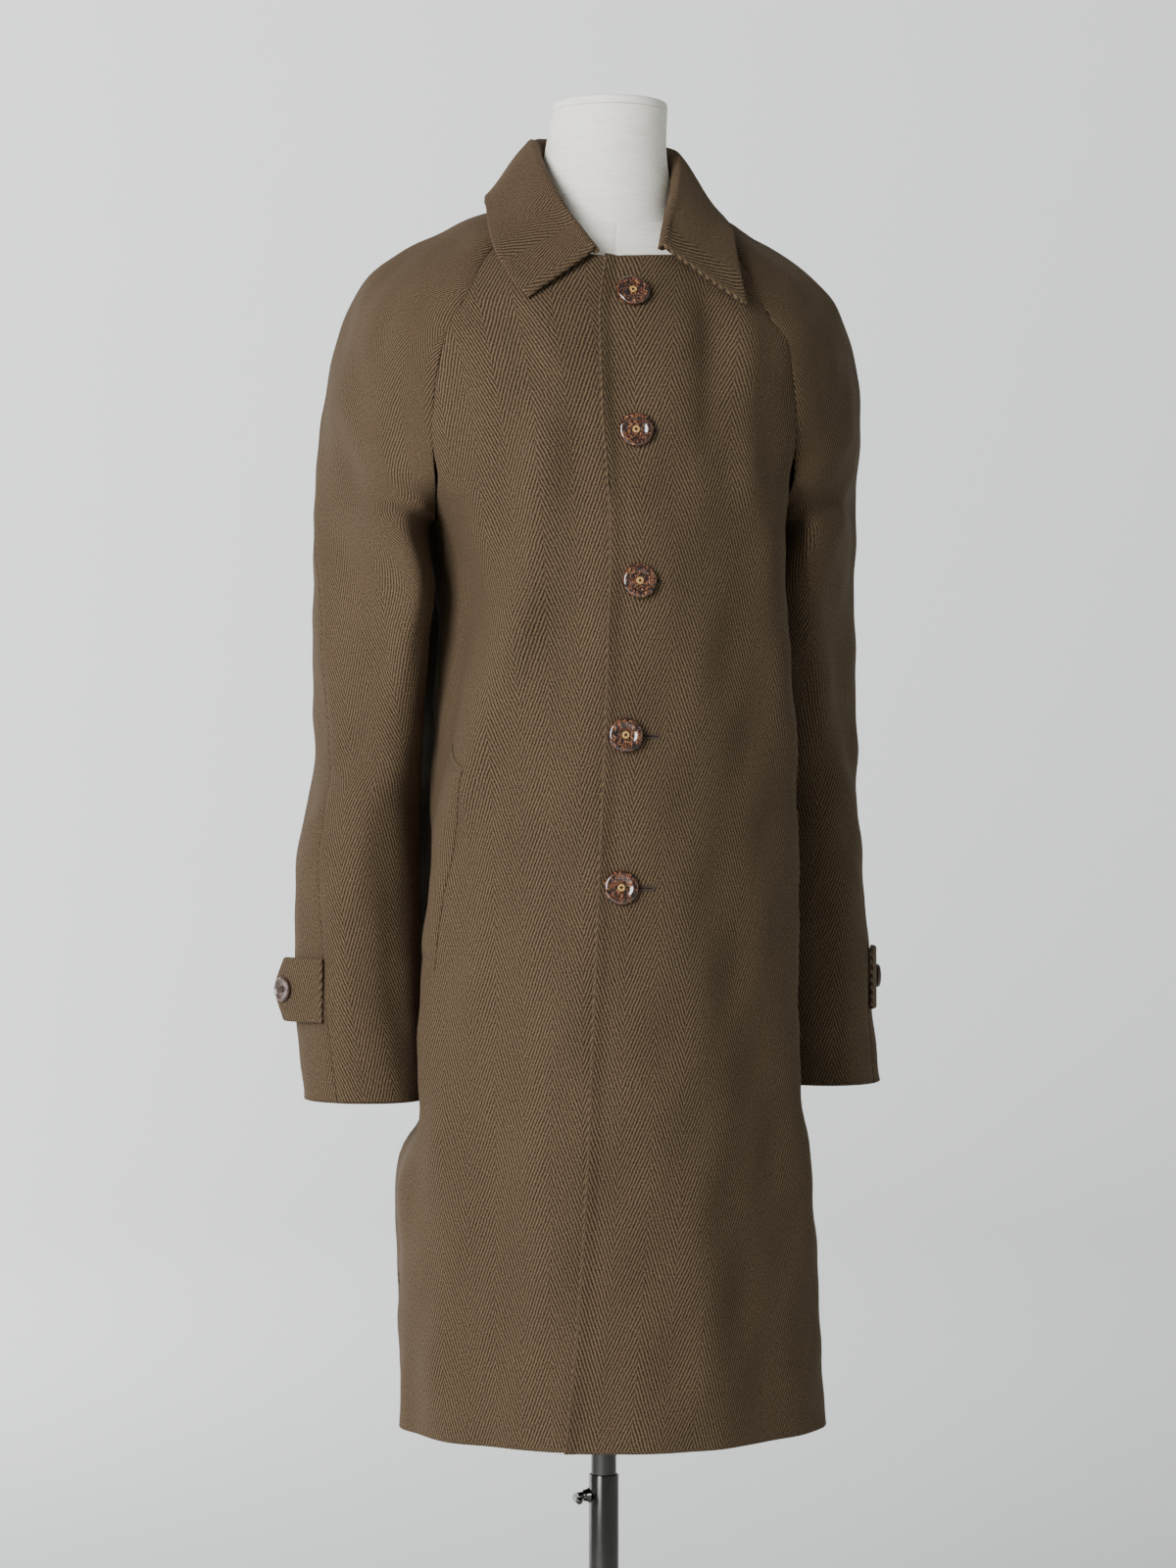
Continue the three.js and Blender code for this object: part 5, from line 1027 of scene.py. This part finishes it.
# A stitch on each point, lying along the point's own direction on the cloth.
def stitchTree():
    tree = bpy.data.node_groups.new("stitchRow", "GeometryNodeTree")
    tree.interface.new_socket("Geometry", in_out="INPUT", socket_type="NodeSocketGeometry")
    for name in ("Stitch Length", "Stitch Width", "Stitch Height"):
        tree.interface.new_socket(name, in_out="INPUT", socket_type="NodeSocketFloat")
    tree.interface.new_socket("Seed", in_out="INPUT", socket_type="NodeSocketInt")
    tree.interface.new_socket("Thread", in_out="INPUT", socket_type="NodeSocketMaterial")
    tree.interface.new_socket("Geometry", in_out="OUTPUT", socket_type="NodeSocketGeometry")
    given = addNode(tree, "NodeGroupInput").outputs
    along = addNode(tree, "GeometryNodeInputNamedAttribute", {"Name": "along"}, data_type="FLOAT_VECTOR")
    outward = addNode(tree, "GeometryNodeInputNamedAttribute", {"Name": "outward"}, data_type="FLOAT_VECTOR")
    lying = addNode(tree, "FunctionNodeAlignRotationToVector", {"Vector": along.outputs[0]}, axis="X")
    facing = addNode(tree, "FunctionNodeAlignRotationToVector", {"Rotation": lying.outputs[0],
                     "Vector": outward.outputs[0]}, axis="Z", pivot_axis="X")
    size = addNode(tree, "ShaderNodeCombineXYZ", {0: given["Stitch Length"], 1: given["Stitch Width"],
                                                  2: given["Stitch Height"]})
    bead = addNode(tree, "GeometryNodeMeshUVSphere", {"Segments": 8, "Rings": 6, "Radius": 0.5})
    stitch = addNode(tree, "GeometryNodeTransform", {"Geometry": bead.outputs["Mesh"], "Scale": size.outputs[0]})
    uneven = addNode(tree, "FunctionNodeRandomValue", {2: 0.88, 3: 1.1, "Seed": given["Seed"]}, data_type="FLOAT")
    spread = addNode(tree, "GeometryNodeInstanceOnPoints", {
        "Points": given["Geometry"], "Instance": stitch.outputs[0], "Rotation": facing.outputs[0],
        "Scale": uneven.outputs[1]})
    real = addNode(tree, "GeometryNodeRealizeInstances", {0: spread.outputs[0]})
    smooth = addNode(tree, "GeometryNodeSetShadeSmooth", {0: real.outputs[0]})
    painted = addNode(tree, "GeometryNodeSetMaterial", {"Geometry": smooth.outputs[0], "Material": given["Thread"]})
    addNode(tree, "NodeGroupOutput", {0: painted.outputs[0]})
    return tree


def stitchPiece(name, tree, stitches, look, thread, seed):
    places, ways, outs = (np.array(column) for column in zip(*stitches))
    mesh = bpy.data.meshes.new(name + "Points")
    mesh.from_pydata((places * mm).tolist(), [], [])
    for key, values in (("along", ways), ("outward", outs)):
        mesh.attributes.new(key, "FLOAT_VECTOR", "POINT").data.foreach_set("vector", values.ravel())
    obj = bpy.data.objects.new(name, mesh)
    bpy.context.scene.collection.objects.link(obj)
    modifier = obj.modifiers.new("stitches", "NODES")
    modifier.node_group = tree
    values = {"Stitch Length": look["length"] * mm, "Stitch Width": look["width"] * mm,
              "Stitch Height": look["height"] * mm, "Seed": seed, "Thread": thread}
    for item in tree.interface.items_tree:
        if item.name in values:
            modifier[item.identifier] = values[item.name]
    bpy.context.view_layer.update()
    evaluated = obj.evaluated_get(bpy.context.evaluated_depsgraph_get())
    result = bpy.data.meshes.new_from_object(evaluated)
    obj.modifiers.clear()
    obj.data = result
    return obj


rows, slits = [], []
for k, (x, z) in enumerate(frontButtonLook["places"]):
    points, outs = [], []
    holeEnd = frontButtonLook["holeReach"][k] - stitchLook["endGap"]
    for s in np.arange(stitchLook["slitStart"], holeEnd, stitchLook["spacing"]):
        point, outward = spotOn(upper, upperInward, x + s, z - 0.03 * s)
        points.append(point)
        outs.append(outward)
    along = unit(points[-1] - points[0])
    for point, outward in zip(points, outs):
        across = unit(np.cross(outward, along))
        for sign in (-1, 1):
            aside = across * sign * stitchLook["halfSlit"] * stitchLook["rowSpread"]
            rows.append((point + aside + outward * stitchLook["lift"], across, outward))
    across = unit(np.cross(outs[-1], along))
    for turn in np.radians(np.arange(-75, 76, 25)):  # the fan at the end of the hole
        way = along * math.cos(turn) + across * math.sin(turn)
        aside = way * stitchLook["halfSlit"] * stitchLook["fanSpread"]
        rows.append((points[-1] + aside + outs[-1] * stitchLook["lift"], way, outs[-1]))
    # painted shade: a thin near-black cord along the slit stands in for the shadow inside the cut
    slits.append(tubeAlong(np.array(points) + np.array(outs) * 0.05, stitchLook["slitRadius"], 8))
for name, (node, side, panel, panelInward, topAngle, topZ, bottomAngle, bottomZ) in welts.items():
    for share in (0.035, 0.965):  # bar tacks at the ends of the pocket
        for t in np.linspace(0.1, 0.82, 26):
            angle = side * (mix(topAngle, bottomAngle, share) + weltLook["turn"] * t)
            z = mix(topZ, bottomZ, share) + weltLook["rise"] * t
            row, column = frontPlaces(side, np.array(angle), np.array(z))
            point, inward = sampleGrid(panel, row, column), unit(sampleGrid(panelInward, row, column))
            way = unit(np.cross(inward, [0, 0, 1.0]))
            rows.append((point - inward * (weltLook["seat"] + weltLook["thickness"] + 0.05), way, -inward))
stitches = stitchPiece("handStitches", stitchTree(), rows, stitchLook, edgeThread, stitchLook["seed"])
finishPiece(stitches, None, "dress_form")
# the slit cords carry painted shade, near black, for the shadow inside each buttonhole
finishPiece(joined("buttonholeSlits", slits), slitDark, "dress_form")

print("dress form and stand")
formLook = {"columns": 120, "step": 2.2, "seamDepth": 0.7, "seamWidth": 1.0, "socket": 11.1, "socketTop": 863,
            "nearSeam": (0.6, 1.3, 2.2, 357.8, 358.7, 359.4), "seamHeight": 1417, "seamFall": 13.5, "bottom": 812,
            "top": 1503,
            "cap": ((0.4, 1.2), (0.7, 0.4), (1.3, 0), (5.6, 0), (6.9, 0.5), (7.7, 1.6), (8, 3.4), (8, 22))}
formSections = makeTable("z x y half front back", [
    (812, 0, 5, 112, 104, 100), (840, 0, 5, 116, 110, 106), (900, 0, 5, 118, 116, 114), (1000, 0, 5, 114, 112, 106),
    (1060, 0, 5, 112, 120, 106), (1130, -2, 6, 116, 142, 120), (1190, -4, 8, 124, 151, 130),
    (1240, -5, 12, 138, 150, 128), (1290, -5, 20, 152, 146, 110), (1330, -5, 26, 154, 134, 88),
    (1360, -5, 30, 145, 122, 76), (1380, -4, 26, 125, 106, 69), (1394, -2, 14, 99, 86, 66), (1404, 0, 4, 75, 70, 62),
    (1412, 0, -2, 62.6, 61.5, 56.8), (1440, 0, -6, 56.5, 54.4, 55.6), (1470, 0, -9, 51.5, 50.5, 51.5),
    (1503, 3, -13, 48.5, 48.5, 48.5)])
evenTurns = np.linspace(0, 360, formLook["columns"], endpoint=False)
formTurns = np.radians(np.sort(np.concatenate([evenTurns, formLook["nearSeam"]])))


def formRing(z, inset, atZ=None):
    section = {key: float(value) for key, value in readTable(formSections, z).items()}
    depth = np.where(np.cos(formTurns) > 0, section["front"], section["back"])
    seamZ = formLook["seamHeight"] - formLook["seamFall"] * np.clip(np.cos(formTurns), 0, 1) ** 1.5
    groove = formLook["seamDepth"] * np.exp(-(((z - seamZ) / formLook["seamWidth"]) ** 2))
    arc = np.minimum(formTurns, 2 * math.pi - formTurns) * depth
    middle = formLook["seamDepth"] * np.exp(-((arc / formLook["seamWidth"]) ** 2)) * (z < seamZ)
    size = -inset - np.maximum(groove, middle)
    return vec(section["x"] + np.sin(formTurns) * (section["half"] + size),
               section["y"] - np.cos(formTurns) * (depth + size), z if atZ is None else atZ)


def stackedRings(name, rings):
    obj = meshObject(name, np.concatenate(rings) * mm, ringFaces(len(rings[0]), len(rings)))
    turnOutwards(obj, 50)
    return obj


formHeights = np.concatenate([np.linspace(818, 1385, 70), np.arange(1388, 1428, 0.9), np.linspace(1430, 1503, 26)])
socketRing = vec(np.sin(formTurns) * formLook["socket"], -np.cos(formTurns) * formLook["socket"], 0)
rings = [socketRing + [0, 0, formLook["socketTop"]], socketRing + [0, 0, formLook["bottom"]]]
rings += [formRing(formLook["bottom"], 5), formRing(formLook["bottom"] + 1.5, 1.5)]
rings += [formRing(z, 0) for z in formHeights]
formTorso = stackedRings("formTorso", rings)
finishPiece(formTorso, linen, "dress_form", "form_torso")
capRings = [formRing(formLook["top"], inset, formLook["top"] + rise) for rise, inset in formLook["cap"]]
neckCap = stackedRings("formNeckCap", capRings)
finishPiece(neckCap, linen, "dress_form", "form_neck_cap")

standLook = {
    "segments": 96, "bossSegments": 40, "baseSegments": 128, "screwRadius": 3, "screwSides": 24, "bossAt": 0.335,
    "pole": [(0, 172), (9.9, 172), (10.75, 172.8), (10.75, 861.2), (9.9, 862), (0, 862)],
    "tube": [(11.1, 3.4), (12.4, 3.4), (12.7, 3.8), (12.7, 352.2), (12.5, 352.8), (11.9, 353), (11.3, 352.8),
             (11.1, 352.3)],
    "boss": [(3.35, 11.9), (6.9, 11.9), (6.4, 12.9), (5.5, 14.2), (4.9, 16), (4.7, 17.6), (4.3, 18), (3.35, 18)],
    "base": [(0, 0), (172.5, 0), (174.3, 0.6), (175, 2), (175, 6), (174.3, 7.4), (172.5, 8), (60, 9), (30, 10.2),
             (26, 12), (24.6, 15), (24, 20), (24, 28.6), (23.4, 29.6), (22, 30), (13.05, 30), (13.05, 3.05),
             (0, 3.05)],
    "screwPath": [(-11.2, 0, 335), (-18, 0, 335), (-22, -0.8, 335), (-25, -6, 335), (-25, -24, 335)],
}
pole = spun(standLook["pole"], standLook["segments"], "innerPole")
finishPiece(pole, steel, "pole", "pole")
tube = spun(standLook["tube"], standLook["segments"], "outerTube")
finishPiece(tube, steel, "stand", "outer_tube")
boss = spun(standLook["boss"], standLook["bossSegments"], "clampBoss")
for vertex in boss.data.vertices:
    x, y, z = vertex.co
    vertex.co = (-z, y, x + standLook["bossAt"])
turnOutwards(boss)
finishPiece(boss, steel, "stand")
base = spun(standLook["base"], standLook["baseSegments"], "roundBase")
finishPiece(base, steel, "stand", "base_plate")

screwLine = smoothCurve([np.array([p], float) for p in standLook["screwPath"]], 8)[0]
screw = joined("clampScrew", [tubeAlong(screwLine, standLook["screwRadius"], standLook["screwSides"])])
finishPiece(screw, steel, "screw", "clamp_screw")

print("studio, light and camera")
studioLook = {"radius": 8, "height": 5, "fillet": 3.2, "paint": "#e4e6e3", "bends": 16, "segments": 96,
              "air": "#eef1f2", "airStrength": 0.36}
profile = [(0.0, 0.0), (studioLook["radius"] - studioLook["fillet"], 0.0)]
for k in range(1, studioLook["bends"] + 1):
    a = math.pi / 2 * k / studioLook["bends"]
    profile.append((studioLook["radius"] - studioLook["fillet"] * (1 - math.sin(a)),
                    studioLook["fillet"] * (1 - math.cos(a))))
profile.append((studioLook["radius"], studioLook["height"]))
count = studioLook["segments"]
points, faces = [(0.0, 0.0, 0.0)], []
for k in range(count):
    a = 2 * math.pi * k / count
    points += [(r * math.cos(a), r * math.sin(a), z - 0.0005) for r, z in profile[1:]]
step = len(profile) - 1
for k in range(count):
    a, b = 1 + k * step, 1 + (k + 1) % count * step
    faces.append((0, a, b))
    faces += [(a + i, a + i + 1, b + i + 1, b + i) for i in range(step - 1)]
room = meshObject("roundBackdrop", points, faces)
room.data.materials.append(plainFinish("mattPaint", studioLook["paint"], 0.95))

lightLook = {
    "window": {"at": (-2.25, -2.35, 1.75), "aim": (0, 0, 1.0), "size": (1.3, 2.0), "power": 185, "colour": "#f8faff"},
    "wall": {"at": (-3.9, 2.6, 2.6), "aim": (-1.2, 7.5, 0.9), "size": (3.0, 3.0), "power": 690, "colour": "#fbfcff"},
}
for name, look in lightLook.items():
    light = bpy.data.lights.new(name, "AREA")
    light.shape = "RECTANGLE"
    light.size, light.size_y = look["size"]
    light.energy = look["power"]
    light.color = hexColour(look["colour"])[:3]
    lamp = bpy.data.objects.new(name, light)
    lamp.location = look["at"]
    lamp.rotation_euler = (Vector(look["aim"]) - Vector(look["at"])).to_track_quat("-Z", "Y").to_euler()
    bpy.context.scene.collection.objects.link(lamp)
world = bpy.data.worlds.new("softRoom")
world.use_nodes = True
air = world.node_tree.nodes["Background"].inputs
air["Color"].default_value = hexColour(studioLook["air"])
air["Strength"].default_value = studioLook["airStrength"]
bpy.context.scene.world = world

cameraLook = {"distance": 3.2, "height": 0.937, "azimuth": -10, "aimLeft": 0.0133, "pixels": 3855,
              "sensor": 36, "frameHeight": 1600}
turn = math.radians(-cameraLook["azimuth"])
camera = bpy.data.cameras.new("photoCamera")
camera.sensor_width = cameraLook["sensor"]
camera.lens = cameraLook["pixels"] / cameraLook["frameHeight"] * camera.sensor_width
viewer = bpy.data.objects.new("photoCamera", camera)
viewer.location = (-math.sin(turn) * cameraLook["distance"], -math.cos(turn) * cameraLook["distance"],
                   cameraLook["height"])
aim = Vector((-math.cos(turn) * cameraLook["aimLeft"], math.sin(turn) * cameraLook["aimLeft"], cameraLook["height"]))
viewer.rotation_euler = (aim - viewer.location).to_track_quat("-Z", "Y").to_euler()
bpy.context.scene.collection.objects.link(viewer)
bpy.context.scene.camera = viewer

print("done")
